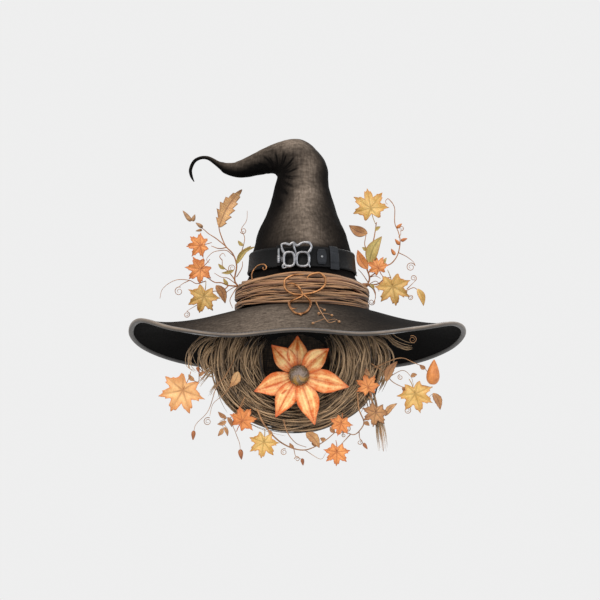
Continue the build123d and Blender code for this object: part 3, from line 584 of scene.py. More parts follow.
# Painted highlight: the felt is painted pale in a stripe down the front and one down the back
def paintedRidgeHighlight(points, centre):
    off = points - centre
    angle = np.degrees(np.arctan2(off[..., 0], -off[..., 1]))
    height = points[..., 2]
    middle = np.interp(height, [0, 95, 150, 200, 235], [0, 3, 5, 10, 26])
    width = np.interp(height, [60, 120, 200], [34, 27, 26])
    front = bell((angle - middle) / width)
    back = 0.7 * bell(((angle - 170 + 180) % 360 - 180) / 45)
    patch = 0.75 + 0.5 * smoothNoise(points, 38, 5.0).reshape(front.shape)
    return limited((front + back) * patch * limited((height - 86) / 16))


# Painted light: a mask that is higher on the upper side of each ring, lighter above and darker below
def upperLight(points, centre):
    off = unit(points - centre)
    return limited(0.15 + 0.5 * off[..., 2] - 0.1 * off[..., 1])


def makeCrown(settings):
    rings = [(0, z, r, 0) for r, z in crownProfile] + settings["fold"]
    count, sides = settings["rings"], settings["sides"]
    outer, centre = ringGrid(rings, count, sides)
    outer, folds = creased(outer, centre, settings)
    inner, _ = ringGrid(rings, count, sides, settings["wall"])
    paintedHighlight = paintedRidgeHighlight(outer, centre)
    # Painted highlight at the top of the fold, and painted light from above on the peak end
    top = limited((outer[..., 2] - 236) / 22) * np.clip(1 - (outer[..., 0] + 60) / 120, 0.2, 1)
    out = limited((-30 - outer[..., 0]) / 25) * limited((outer[..., 2] - 200) / 8)
    lit = upperLight(outer, centre)
    paintedHighlight = (1 - out) * limited(paintedHighlight + 0.5 * top) + out * lit
    # Painted shade: the highlight is taken out of the creases, and the creases and the lower side of the peak end
    # are darkened
    paintedHighlight = limited(paintedHighlight - 0.35 * limited(-folds))
    dark = limited(0.3 * limited(-folds) + 0.5 * out * (1 - lit))
    shape = Shape()
    addShell(shape, outer, inner, wrap=True, vein=paintedHighlight, rim=dark)
    skin = build("crownSkin", shape, looks["felt"], None, ["crown", "fold_gore", "peak"])
    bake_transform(skin)


def makeTip(settings):
    count, sides = settings["tip rings"], settings["tip sides"]
    outer, centre = ringGrid(settings["tip"], count, sides)
    inner, _ = ringGrid(settings["tip"], count, sides, settings["tip wall"])
    shape = Shape()
    # Painted light: the tip is painted lighter on its upper side and towards the crown, with painted shade on its
    # lower side
    lit = upperLight(outer, centre) * np.clip((outer[..., 0] + 170) / 60, 0.1, 1)
    addShell(shape, outer, inner, wrap=True, vein=lit, rim=0.5 * (1 - lit))
    skin = build("tipSkin", shape, looks["felt"], None, ["tip_gore", "tip"])
    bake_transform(skin)


makeCrown(crownSettings)
makeTip(crownSettings)
print("crown made")


# Brim

brimSettings = {
    "heights": [-30, -45, -59, -64, -65, -64, -58, -45, -30, -20, -41, -56, -50, -54, -40, -25],
    "dips": [5, 2, 0, 0, 0, 0, 0, 2, 6, 12, 5, 0, 0, 0, 3, 9], "half width": 251, "half depth": 200,
    "shift": -7, "hole": 92.8, "shoulder": 97, "thickness": 3, "turns": 288, "rows": 40, "stitches": 300,
    "wave": 45, "binding sides": 20, "binding reach": 3.9, "binding inset": 0.6, "binding rise": 2.5,
}


# The ring of the brim at a share of the way from its shoulder to its edge
def brimPlace(share, turns, settings):
    t = np.arange(16) * 2 * np.pi / 16
    near = settings["shoulder"] * np.stack([np.cos(t), np.sin(t)], axis=1)
    far = np.stack([settings["shift"] + settings["half width"] * np.cos(t),
                    settings["half depth"] * np.sin(t)], axis=1)
    fall = -0.078 * share + 2.133 * share ** 2 - 1.055 * share ** 3
    flat = near + (far - near) * share
    drop = fall * np.array(settings["heights"], float) - 4 * share * (1 - share) * np.array(settings["dips"])
    ring = np.column_stack([flat, drop])
    return spline(ring, turns, closed=True)


# The brim's height at a place, for what lies on it
def brimTop(x, y):
    here = np.array([x, y], float)
    best = None
    for share in np.linspace(0, 1, 41):
        ring = brimPlace(share, 256, brimSettings)
        gap = np.linalg.norm(ring[:, :2] - here, axis=1)
        k = int(gap.argmin())
        if best is None or gap[k] < best[0]:
            best = (gap[k], ring[k, 2])
    return best[1]


def makeBrim(settings):
    turns = settings["turns"]
    t = circle(turns)
    hole = settings["hole"] * np.stack([np.cos(t), np.sin(t), 0 * t], axis=1)
    shares = np.linspace(0, 1, settings["rows"])
    top = np.stack([hole] + [brimPlace(s, turns, settings) for s in shares])
    wave = smoothNoise(top, settings["wave"], 11.0).reshape(top.shape[:2])
    fade = np.concatenate([[0], limited(shares * 3) * limited((1 - shares) * 8)])[:, None]
    top[..., 2] += wave * fade
    under = top - [0, 0, settings["thickness"]]
    angle = np.degrees(np.arctan2(top[..., 0], -top[..., 1]))
    radial = np.concatenate([[0], shares])[:, None]
    # Painted highlight: a soft pale patch across the front of the brim's top
    paintedHighlight = bell((angle + 14) / 30) * limited(radial * 2.2) * 0.72
    paintedHighlight = paintedHighlight + 0.1 * bell((angle + 10) / 70) * limited(radial - 0.6) * 2 * limited(0.5 + wave)
    shape = Shape()
    addShell(shape, top, under, wrap=True)
    n = turns * (settings["rows"] + 1)
    shape.marks["vein"] = [np.concatenate([limited(paintedHighlight).reshape(-1), np.zeros(n)])]
    # Painted shade: the brim's underside is darkened
    shape.marks["rim"] = [np.concatenate([np.zeros(n), np.full(n, 0.75)])]
    build("brimFelt", shape, looks["felt"], "root", ["brim"])


def makeBinding(settings):
    turns = settings["turns"]
    edge = brimPlace(1.0, turns, settings)
    inner = brimPlace(0.9, turns, settings)
    inward = unit(inner - edge)
    run = unit(np.roll(edge, -1, axis=0) - np.roll(edge, 1, axis=0))
    normal = unit(np.cross(run, inward))
    normal *= np.sign(normal[:, 2:3])
    middle = edge - normal * settings["thickness"] / 2
    thick = 1.0 + 0.35 * np.abs(np.cos(circle(turns))) ** 3
    sides = settings["binding sides"]
    turn = circle(sides)
    across = squared(np.cos(turn), 0.7) * settings["binding reach"] + settings["binding inset"]
    rise = squared(np.sin(turn), 0.7) * settings["binding rise"]
    points = (middle[:, None] + across[None, :, None] * inward[:, None]
              + (rise[None, :] * thick[:, None])[..., None] * normal[:, None])
    # Painted highlight: fold marks a pale line along the binding's upper outer edge, wider where the binding is
    # thick
    spread = 0.5 + 0.9 * (thick - 1)[:, None] / 0.35
    fold = bell((turn[None, :] - 2.2) / spread)
    shape = Shape()
    shape.add(points, gridFaces(turns, sides, True, True), vein=fold)
    build("bindingRibbon", shape, looks["ribbon"], "root", ["brim_binding"])
    thread = Shape()
    for k in np.linspace(0, turns, settings["stitches"], endpoint=False).astype(int):
        start = middle[k] + 3.4 * inward[k] + (2.0 * thick[k] + 0.25) * normal[k]
        addTube(thread, [start - run[k] * 0.95, start, start + run[k] * 0.95], [0.2, 0.38, 0.2], 6, (0, 0, 1))
    build("bindingStitches", thread, looks["tab"], "root")


makeBrim(brimSettings)
makeBinding(brimSettings)
print("brim made")


# Twig wrap

twigSettings = {
    "strands": 12, "thin": 14, "samples": 170, "sides": 12, "low": 3.0, "high": 47.0, "top": 49.4,
    "swell": 6.2, "thin radius": (0.7, 1.2), "thick radius": (2.2, 3.1), "ends": 22,
}


def makeTwigs(settings):
    shape = Shape()
    theta = circle(settings["samples"])
    # Painted light: crest is highest on the upper outer side of each strand
    crest = np.cos(circle(settings["sides"]) - 0.9)
    for k in range(settings["strands"] + settings["thin"]):
        share = (k * 0.618) % 1.0
        thin = k >= settings["strands"]
        radius = rng.uniform(*settings["thin radius" if thin else "thick radius"])
        phase = rng.uniform(0, 6.28, 5)
        height = settings["low"] + share * (settings["high"] - settings["low"])
        wave = (3.0 * np.sin(theta + phase[0]) + 2.6 * np.sin(2 * theta + phase[1])
                + 1.3 * np.sin(4 * theta + phase[2]) + 0.5 * np.sin(9 * theta + phase[3]))
        squeeze = 1 - 0.17 * np.abs(np.cos(theta)) ** 2.5
        z = np.clip((height + wave) * squeeze, radius + 0.5, settings["top"] * squeeze - radius)
        thick = radius * (1 + 0.1 * np.sin(5 * theta + phase[4]) + 0.06 * np.sin(13 * theta + phase[0]))
        bob = 0.5 + 0.5 * np.sin((3 - 2 * thin) * theta + phase[4] * 2)
        lift = 0.3 + (settings["swell"] - 2 * radius) * bob ** (0.4 if thin else 1)
        r = crownRadius(np.maximum(z - radius, 0)) + radius + np.maximum(lift, 0.2)
        path = np.stack([r * np.cos(theta), r * np.sin(theta), z], axis=1)
        base = (rng.uniform(0.12, 0.42) + 0.2 * np.sin(2 * theta + phase[3])
                + 0.15 * np.sin(7 * theta + phase[1]) + 0.2 * thin)
        # Tone: random strand tone plus painted highlight on the upper outer side and painted shade on the lower
        # side
        tone = limited(base[:, None] + 0.95 * (crest[None, :] - 0.5)).reshape(-1)
        addTube(shape, path, thick, settings["sides"], (0, 0, 1), closed=True, vein=rng.uniform(0, 1) ** 2,
                tone=tone)
    for k in range(settings["ends"]):
        side = 1 if k % 2 else -1
        start = rng.uniform(-50, 50)
        z = rng.uniform(8, 42)
        angles = np.radians(start + side * np.linspace(0, rng.uniform(35, 60), 14))
        out = np.linspace(1.5, 4.2, 14)
        heights = np.clip(z + np.linspace(0, rng.uniform(-9, 9), 14), 2.5, 47)
        r = crownRadius(heights) + 2.4 + out
        path = np.stack([r * np.sin(angles), -r * np.cos(angles), heights], axis=1)
        radii = taper(14, [0, 0.12, 0.8, 1], [0.2, 1.1, 1.0, 0.15])
        addTube(shape, path, radii, 6, (0, 0, 1), tone=rng.uniform(0.5, 1))
    build("twigWrap", shape, looks["twig"], "root", ["twig_wrap_lower", "twig_wrap_upper"])


makeTwigs(twigSettings)
print("twigs made")


# Belt, tab, keeper and buckle

beltSettings = {
    "low": 58.0, "high": 89.0, "turns": 240, "inner": 1.7,
    "face": [
        (0.0, 2.9), (0.6, 3.6), (1.6, 3.8), (3.6, 3.8), (4.3, 3.35), (15.5, 3.3), (26.7, 3.35), (27.4, 3.8),
        (29.4, 3.8), (30.4, 3.6), (31.0, 2.9),
    ],
    "middle": 73.5, "stitches": 150, "stitch rows": (2.7, 28.3), "tab": (15.6, 26.0, 62.0, 85.0),
    "keeper": (30.6, 41.8, 57.4, 89.6),
}


def around(angle, radius, z):
    a = np.radians(angle)
    return np.stack(np.broadcast_arrays(radius * np.sin(a), -radius * np.cos(a), z), axis=-1)


def makeBelt(settings):
    low = settings["low"]
    face = [(low + rise, off) for rise, off in settings["face"]]
    loop = face + [(low + 31.0, settings["inner"]), (low + 15.0, settings["inner"]), (low, settings["inner"])]
    z, off = np.array(loop).T
    radius = crownRadius(z) + off
    turns = np.linspace(0, 360, settings["turns"], endpoint=False)
    points = around(turns[:, None], radius[None, :], z[None, :])
    shape = Shape()
    shape.add(points, gridFaces(settings["turns"], len(loop), True, True))
    build("beltStrap", shape, looks["belt"], "root", ["belt"])
    thread = Shape()
    for rise in settings["stitch rows"]:
        for angle in np.linspace(0, 360, settings["stitches"], endpoint=False):
            zed = low + rise
            spots = around(np.array([-0.55, 0, 0.55]) + angle, crownRadius(zed) + 3.85, zed)
            addTube(thread, spots, [0.15, 0.33, 0.15], 5, (0, 0, 1))
    build("beltStitches", thread, looks["tab"], "root")


def makeTab(settings):
    first, last, low, high = settings["tab"]
    middle = settings["middle"]
    s = np.linspace(0, 1, 25)
    v = np.linspace(-1, 1, 15)
    corner = np.clip(np.abs(s - 0.5) * 2 - 0.55, 0, 0.45)
    half = (high - low) / 2 * np.minimum(1, np.sqrt(1 - corner ** 2 / 0.25))
    z = middle + v[None, :] * half[:, None]
    angle = (first + (last - first) * s)[:, None] + 0 * z
    outer = around(angle, crownRadius(z) + 5.5 - 0.5 * np.abs(v[None, :]) ** 6, z)
    inner = around(angle, crownRadius(z) + 4.0, z)
    shape = Shape()
    addShell(shape, outer, inner)
    build("beltTab", shape, looks["tab"], "root", ["belt_tab"])
    dots = Shape()
    for k in range(9):
        for edge in (-0.78, 0.78):
            zed = middle + (high - low) / 2 * edge
            spot = around(first + 0.9 + k * (last - first - 1.8) / 8, crownRadius(zed) + 5.35, zed)
            addBall(dots, spot, (0.42, 0.42, 0.42), 5, 7)
    build("tabStitches", dots, looks["belt"], "root")
    stud = Shape()
    angle = (first + last) / 2
    outward = around(angle, 1.0, 0.0)
    addBall(stud, around(angle, crownRadius(middle) + 5.6, middle), (1.9, 1.9, 1.0), 9, 18, outward)
    addBall(stud, around(angle, crownRadius(middle) + 3.4, middle), (1.0, 1.0, 3.0), 9, 12, outward)
    build("tabStud", stud, looks["steel"], "root", ["tab_rivet"])


def makeKeeper(settings):
    first, last, low, high = settings["keeper"]
    mid = settings["middle"]
    corners = [(low, 1.2), (low, 4.3), (low + 8, 4.4), (mid, 4.5), (high - 8, 4.4), (high, 4.3), (high, 1.2),
               (high - 8, 1.2), (mid, 1.2), (low + 8, 1.2)]
    z, off = spline(corners, 80, closed=True).T
    middle = np.array([mid, 2.75])
    out = unit(np.stack([z, off], axis=1) - middle)
    endOut, faceOut = [[1.0, 0.0]] * np.sign(out[:, :1]), [[0.0, 1.0]] * np.sign(out[:, 1:])
    out = np.where(np.abs(out[:, :1]) > 0.97, endOut, faceOut)
    rows = []
    shares = np.linspace(-1, 1, 13)
    for s in shares:
        bulge = 1.15 * (1 - 0.45 * abs(s) ** 4)
        zed, offset = z + out[:, 0] * bulge * 0.8, off + out[:, 1] * bulge
        angle = (first + last) / 2 + s * (last - first) / 2
        rows.append(around(angle, crownRadius(zed) + offset, zed))
    inner = [around((first + last) / 2 + s * (last - first) / 2, crownRadius(z) + off, z) for s in shares]
    shape = Shape()
    addShell(shape, np.stack(rows), np.stack(inner), wrap=True)
    build("keeperLoop", shape, looks["tab"], "keeper", ["belt_keeper"])


buckleSettings = {
    "centre": (-8.0, -86.1, 73.6), "wire": 2.0, "depth": 0.8, "bar": -34.5, "bore": 1.42, "barrel": 5.6,
    "drop": 5.3, "loops": [(-11.0, -5.3, 8.0, 10.6), (9.2, -5.3, 9.3, 10.6)],
    "tails": [
        [(-17, -12), (-20.5, -15), (-19, -18.5), (-13, -16.5)], [(16, -11), (18.5, -14.5), (20, -17.5)],
        [(-4.5, 19), (-3.6, 12), (-1.2, 5.5), (-1.2, 2)],
    ],
    "crest": [
        (-18, 3), (-21.6, 10), (-22, 16.5), (-16, 17.8), (-10.5, 16.4), (-5, 19.6), (0.5, 15), (7, 18.8),
        (14, 19.8), (19, 18.6), (21.8, 13.5), (19.5, 7.5), (16, 3),
    ],
}


def makeBuckle(settings):
    x, y, z = settings["centre"]
    wire, shape = settings["wire"], Shape()
    turn = circle(64)
    for across, up, halfWidth, halfHeight in settings["loops"]:
        wide = squared(np.cos(turn), 0.66)
        tall = squared(np.sin(turn), 0.72)
        path = np.stack([x + across + halfWidth * wide, y + 0 * turn, z + up + halfHeight * tall], axis=1)
        addTube(shape, path, wire * (1 + 0.12 * np.sin(3 * turn)), 16, (0, 1, 0), settings["depth"],
                closed=True)
    crest = evenly([(x + a, y, z + b) for a, b in settings["crest"]], 110)
    swell = wire * (1 + 0.14 * np.sin(np.linspace(0, 9 * np.pi, 110)))
    addTube(shape, crest, swell, 16, (0, 1, 0), settings["depth"])
    for tail in settings["tails"]:
        path = evenly([(x + a, y, z + b) for a, b in tail], 20)
        addTube(shape, path, wire * taper(20, [0, 0.4, 1], [1.0, 0.85, 0.4]), 14, (0, 1, 0), 0.8)
    bar, low = settings["bar"], z - settings["drop"]
    plate = np.array([(bar + 1.0, 3.2), (bar + 4, 3.8), (-31, 4.0), (-28.4, 2.6)])
    s = np.linspace(-1, 1, 7)
    top = np.stack([np.stack([np.full(7, px), y - 1.3 + 0.5 * np.abs(s) ** 4, low + s * half], axis=1)
                    for px, half in plate])
    addShell(shape, top, top * [1, 0, 1] + [0, y + 1.3, 0])
    heights = np.linspace(low - settings["barrel"], low + settings["barrel"], 24)
    half = turn[::2]

    def barrel(radii):
        return np.stack([np.stack([bar + r * np.cos(half), y + r * np.sin(half), h + 0 * half], axis=1)
                         for h, r in zip(heights, radii)])

    outer = barrel(2.35 + 0.18 * np.cos(heights * 2.2))
    inner = barrel(np.full(24, settings["bore"]))
    addShell(shape, outer, inner, wrap=True)
    build("buckleCast", shape, looks["silver"], "buckle", ["buckle_frame"])


makeBelt(beltSettings)
makeTab(beltSettings)
makeKeeper(beltSettings)
makeBuckle(buckleSettings)
print("belt made")


# Scroll, sprig and the curls at the twigs

scrollSettings = {
    "y": -104.9, "wire": 1.65,
    "eight": [
        (3.1, 42.6), (-11.4, 41.9), (-23.7, 35.7), (-26, 27.9), (-23.7, 20.2), (-14.5, 14), (-2.2, 12.2),
        (3.9, 13.2), (16.1, 15.6), (26.8, 20.2), (33.7, 27.9), (33.7, 37.2), (26.8, 44.2), (16.1, 43.4),
        (8.5, 38.8), (6.9, 32.6),
    ],
    "inner": [(-22.1, 27.9), (-14.5, 29.2), (-5.3, 24.1), (0.1, 15.6), (0.8, 11)],
    "down": [(-4.5, -106.4, 7.6), (-11.5, -107.4, 4.6)],
    "drop": [(-17.5, 19), (-19, 30), (-17, 46), (-11, 60), (-2, 67), (7, 58), (11.7, 42), (12.6, 27)],
    "back": [(10.5, -107.8, 4.8), (5.5, -106.6, 9.6), (0.5, -105.6, 14.5)],
    "curl": [
        (-74, 42, 97), (-74.5, 50, 93), (-72, 57.5, 88), (-65, 63.3, 87), (-57, 63.8, 87),
        (-52.7, 59.5, 87.5), (-54.5, 55, 89), (-58, 57, 88.5), (-57.5, 59.5, 88),
    ],
    "sprig": [(20, 16), (23, 41), (30, 66), (38, 84), (48, 76)],
    "buds": [(32.5, 50), (43, 60), (53, 75), (15.5, 92), (24, 62)],
    "twigs": [
        [(24, 44), (30, 49), (32, 52)], [(29, 62), (36, 59), (43, 60)], [(36, 78), (47, 70), (53, 75)],
        [(33, 74), (24, 82), (15, 92)], [(28, 60), (25, 63), (23, 66)],
    ],
}


def onBrim(x, out, lift):
    return x, -95.3 - out, brimTop(x, -95.3 - out) + lift


def makeScroll(settings):
    y, wire, shape = settings["y"], settings["wire"], Shape()
    eight = evenly([(x, y - 0.7, z) for x, z in settings["eight"]], 170)
    eight[:, 1] += 1.0 * np.cos(np.linspace(0, 3 * np.pi, 170))
    addTube(shape, eight, wire * taper(170, [0, 0.08, 0.9, 1], [0.35, 1, 1.05, 0.3]), 10)
    top = [(x, y - 1.4, z) for x, z in settings["inner"]]
    drop = [onBrim(x, out, 2.9) for x, out in settings["drop"]]
    path = evenly(top + settings["down"] + drop + settings["back"], 190)
    addTube(shape, path, wire * taper(190, [0, 0.06, 0.95, 1], [0.3, 1, 1.05, 0.6]), 10, (0.1, 0.7, 0.7))
    thorn = evenly([onBrim(-17.5, 48, 3.2), onBrim(-11, 52, 4.2), onBrim(-7, 50, 4.6)], 12)
    addTube(shape, thorn, np.linspace(1.3, 0.2, 12), 8, (0, 0, 1))
    addBall(shape, onBrim(-2, 68, 3.2), (2.0, 2.4, 1.9), 8, 12)
    curl = [(x, -math.sqrt(r * r - x * x), z) for x, z, r in settings["curl"]]
    addTube(shape, evenly(curl, 60), taper(60, [0, 0.2, 0.8, 1], [0.9, 1.1, 1.0, 0.7]), 9)
    build("scrollWire", shape, looks["copper"], "root", ["scroll_wire"])
    vine = Shape()
    trunk = evenly([onBrim(a, b, 3.8) for a, b in settings["sprig"]], 60)
    addTube(vine, trunk, np.linspace(1.1, 0.45, 60), 8, (0, 0, 1))
    for twig in settings["twigs"]:
        path = evenly([onBrim(a, b, 3.7) for a, b in twig], 16)
        addTube(vine, path, np.linspace(0.6, 0.35, 16), 6, (0, 0, 1))
    for a, b in settings["buds"]:
        addBall(vine, onBrim(a, b, 3.2), (2.0, 2.3, 2.0), 8, 12, tone=1.0)
    build("sprigVine", vine, looks["vine"], "root", ["sprig"])


makeScroll(scrollSettings)
print("scroll made")


# Leaves. A maple leaf is given as angle and reach from its foot, for its right half.

mapleLobes = [
    (90, 1.0), (85, 0.84), (80, 0.86), (73, 0.7), (66, 0.56), (61, 0.62), (56, 0.76), (51, 0.78), (43, 1.0),
    (37, 0.8), (31, 0.8), (25, 0.64), (18, 0.54), (11, 0.6), (5, 0.76), (-1, 0.76), (-8, 0.94), (-15, 0.7),
    (-24, 0.64), (-34, 0.54), (-46, 0.6), (-56, 0.7), (-64, 0.62), (-76, 0.42),
]
mapleVeins = [90, 42, 138, -8, 188, -62, 242]


def placed(local, origin, spin):
    a = math.radians(spin)
    x, depth, z = local[..., 0], local[..., 1], local[..., 2]
    across, up = x * math.cos(a) - z * math.sin(a), x * math.sin(a) + z * math.cos(a)
    return np.stack([origin[0] + across, origin[1] - depth, origin[2] + up], axis=-1)


def addMaple(shape, origin, size, spin, tone, depth, seed, stalk):
    own = np.random.default_rng(seed)
    size *= 1.1  # the lobes read fuller than their CAD circles
    right = [(r * math.cos(math.radians(a)), r * math.sin(math.radians(a))) for a, r in mapleLobes]
    left = [(-x, z) for x, z in right[:0:-1]]
    outline = np.array([(x, z) for x, z in right] + [(0.0, -0.3)] + left)
    n = len(outline)
    fine = np.vstack([outline + (np.roll(outline, -1, axis=0) - outline) * s for s in (0, 0.5)])
    outline = fine.reshape(2, n, 2).transpose(1, 0, 2).reshape(-1, 2)
    outline = outline * (1 + own.uniform(-0.04, 0.04, (2 * n, 1)))
    rho = np.linspace(0, 1, 12)[:, None, None]
    flat = rho * outline[None] * size
    angle = np.degrees(np.arctan2(flat[..., 1], flat[..., 0]))
    reach = np.hypot(flat[..., 0], flat[..., 1]) / size
    gap = np.min([np.abs((angle - v + 180) % 360 - 180) for v in mapleVeins], axis=0)
    off = reach * np.radians(gap)
    vein = bell(off / 0.035) * limited(1.1 - reach)
    ridge = size * 0.16 * limited(off / 0.3) ** 0.7 * reach
    droop = size * (0.1 * reach ** 2 * np.cos(np.radians(2 * angle + own.uniform(0, 360)))
                    + 0.12 * reach ** 3)
    local = np.stack([flat[..., 0], ridge - droop + 0 * reach, flat[..., 1]], axis=-1)
    local[..., 1] = np.clip(local[..., 1], -depth, depth)
    front = placed(local + [0, 0.45, 0], origin, spin)
    back = placed(local - [0, 0.35, 0], origin, spin)
    edge = limited((rho[..., 0] - 0.72) / 0.28) ** 1.5 + 0 * reach
    shade = limited(tone + 0.35 * (0.5 - reach) + 0.1 * own.standard_normal())
    addShell(shape, front, back, wrap=True, vein=vein, rim=edge, tone=shade)
    foot = np.array([[0, 0.3, -0.05 * size], [0.03 * size, 0.2, -0.5 * size],
                     [0.1 * size, 0, -(0.6 + stalk) * size]])
    foot = placed(foot, origin, spin)
    addTube(shape, spline(foot, 12), np.linspace(0.75, 0.5, 12), 6, vein=1.0, tone=0.2)


def addBlade(shape, start, end, width, y, tone=0.5, bow=0.08, curl=0.12, teeth=0, seed=0, thick=0.4,
             bite=0.13):
    own = np.random.default_rng(seed)
    start, end = np.array(start, float), np.array(end, float)
    run = end - start
    length = np.linalg.norm(run)
    run = run / length
    side = np.array([-run[1], run[0]])
    s = np.linspace(0, 1, 34 if teeth < 6 else 90)
    v = np.linspace(-1, 1, 13)
    half = width / 2 * np.sin(np.pi * s ** 0.85) ** 0.85 * (1 - 0.25 * s)
    half = half / half.max() * width / 2 + 0.25
    if teeth:
        half = half * (1 - bite * (1 - (s * teeth) % 1.0) ** 0.8 * limited(s * 6))
    spine = start + np.outer(s * length, run) + np.outer(np.sin(np.pi * s) * bow * length, side)
    sideways = v[None, :, None] * half[:, None, None] * side
    flat = spine[:, None, :] + sideways
    depth = 0.28 * half[:, None] * np.abs(v[None, :]) ** 1.2 - curl * length * (s[:, None] - 0.45) ** 2
    depth = depth + 0.05 * width * np.sin(9 * s[:, None] + own.uniform(0, 6)) * v[None, :] ** 2
    middle = np.stack([flat[..., 0], y - depth, flat[..., 1]], axis=-1)
    lines = np.abs(((s[:, None] - 0.32 * np.abs(v[None, :])) * 9) % 1 - 0.5)
    vein = np.maximum(bell(v[None, :] / 0.09), 0.6 * limited(1 - lines * 7)) * np.ones_like(depth)
    edge = limited((np.abs(v[None, :]) - 0.66) / 0.34) ** 1.5 * np.ones_like(depth)
    edge = np.maximum(edge, limited((s[:, None] - 0.86) / 0.14))
    shade = limited(tone + 0.5 * (0.5 - s[:, None]) + 0 * v[None, :])
    addShell(shape, middle - [0, thick, 0], middle + [0, thick, 0], vein=vein, rim=edge, tone=shade)


def spiral(x, z, radius, start, turns, y):
    s = np.linspace(0, 1, 46)
    a = np.radians(start + 360 * turns * s)
    r = radius * (1 - 0.75 * s)
    return np.stack([x + r * np.cos(a), y + 0 * s, z + r * np.sin(a)], axis=1)


def addSpirals(shape, rows, y, radii):
    for x, z, radius, start, turns in rows:
        path = spiral(x, z, radius, start, turns, y)
        addTube(shape, path, np.linspace(*radii, len(path)), 7)


def addBuds(shape, rows, y):
    for start, end, width in rows:
        addBud(shape, (start[0], y, start[1]), (end[0], y, end[1]), width, 14, 12)


def planar(points, y):
    return [(x, y, z) for x, z in points]


def addVine(shape, points, y, radius, finish, sides=7, wander=0.0):
    count = max(14, int(len(points) * 9))
    path = evenly(planar(points, y), count)
    if wander:
        path[:, 1] += wander * np.sin(np.linspace(0, 6, count))
    addTube(shape, path, np.linspace(radius, radius * finish, count), sides)


# Side sprays

sprayHeight = 46.0
leftSettings = {
    "y": 35.0, "foot": (-106.5, -89.5),
    "stems": [
        ([(-98, 46), (-104, 37), (-110, 24), (-106, 12)], 0.8),
        ([(-98, 46), (-108, 42), (-119, 32), (-118, 20)], 0.7), ([(-100, 60), (-92, 74), (-91, 84)], 0.8),
        ([(-102, 50), (-113, 58), (-124, 60), (-134, 66)], 0.7),
        ([(-98, 46), (-103, 56), (-100, 78), (-106, 96), (-117, 108), (-125, 127), (-128, 140)], 1.35),
        ([(-117, 108), (-132, 120), (-143, 127), (-151, 134), (-160, 140)], 0.95),
        ([(-115, 106), (-127, 104), (-139, 108)], 0.9),
        ([(-98, 46), (-112, 47), (-123, 51), (-134, 52), (-146, 60)], 1.2),
        ([(-112, 47), (-122, 38), (-134, 38), (-143, 33)], 0.95),
        ([(-103, 56), (-112, 68), (-121, 76), (-122, 86)], 0.9),
    ],
    "tendrils": [
        [(-147, 54), (-161, 50), (-172, 55), (-190, 56), (-204, 50), (-214, 40), (-217, 27)],
        [(-98, 84), (-90, 108), (-88, 122), (-93, 134), (-85, 148), (-84, 163)],
        [(-104, 92), (-115, 101), (-126, 101), (-137, 98), (-146, 88), (-142, 82)],
        [(-122, 86), (-126, 92), (-121, 97), (-117, 92)],
    ],
    "spirals": [
        (-107, 74, 6, 250, -1.6), (-188, 38, 7, 70, 1.5), (-176, 2, 5, 90, -1.7), (-90, 132, 5, 200, 1.4),
    ],
    "leads": [[(-172, 55), (-182, 50), (-188, 45)], [(-143, 33), (-156, 20), (-172, 10), (-176, 7)]],
    "buds": [
        ((-152, 136.5), (-163, 144), 6), ((-170, 146), (-183, 163), 7), ((-168, 146), (-164, 157), 6),
        ((-153, 133), (-163, 131), 4),
    ],
    "leaflets": [
        ((-100, 80), (-78, 108), 8), ((-99, 88), (-71, 107), 5), ((-104, 70), (-123, 66), 5),
        ((-90, 108), (-98, 116), 5), ((-118, 72), (-128, 80), 5), ((-113, 48), (-120, 58), 5),
    ],
}
rightSettings = {
    "y": 25.0, "foot": (91.5, 108.5),
    "stems": [
        ([(100, 46), (108, 40), (112, 28), (108, 17)], 0.8),
        ([(100, 46), (112, 52), (118, 46), (117, 36)], 0.7), ([(101, 50), (93, 62), (86, 70)], 0.8),
        ([(103, 58), (112, 60), (120, 56)], 0.7),
        ([(100, 46), (103, 58), (98, 78), (104, 98), (110, 118), (114, 143)], 1.35),
        (
            [
                (103, 58), (116, 68), (124, 76), (134, 78), (143, 87), (148, 99), (150, 115), (147, 129),
                (142, 142), (142, 164), (138, 174),
            ],
            1.05,
        ),
        ([(100, 46), (116, 48), (126, 56), (136, 58)], 1.2),
        ([(118, 50), (134, 42), (150, 36), (160, 38), (170, 42), (177, 38)], 0.95),
        ([(103, 96), (96, 108), (98, 124)], 0.9),
    ],
    "tendrils": [
        [(148, 96), (160, 90), (170, 82), (173, 76)], [(160, 40), (168, 48), (172, 52)],
        [(108, 44), (112, 34), (111, 22)], [(138, 174), (132, 180), (128, 176), (131, 171)],
        [(84, 60), (80, 66), (82, 74)],
    ],
    "spirals": [
        (166, 74, 7, 15, 1.7), (170, 57, 5, 285, 1.6), (106, 20, 5, 20, -1.6), (165, 27, 4, 60, -1.5),
        (152, 134, 4, 250, 1.3),
    ],
    "leads": [[(150, 36), (158, 32), (167, 30)], [(148, 120), (151, 125), (151, 130)]],
    "buds": [
        ((142, 92), (136, 102), 5.5), ((149, 108), (142, 117), 5.5), ((151, 114), (161, 118), 5),
        ((145, 134), (153, 141), 5),
    ],
    "leaflets": [
        ((99, 76), (88, 84), 5), ((124, 76), (129, 88), 5), ((100, 100), (92, 104), 5),
        ((112, 130), (120, 136), 5), ((104, 47), (110, 40), 5),
    ],
}
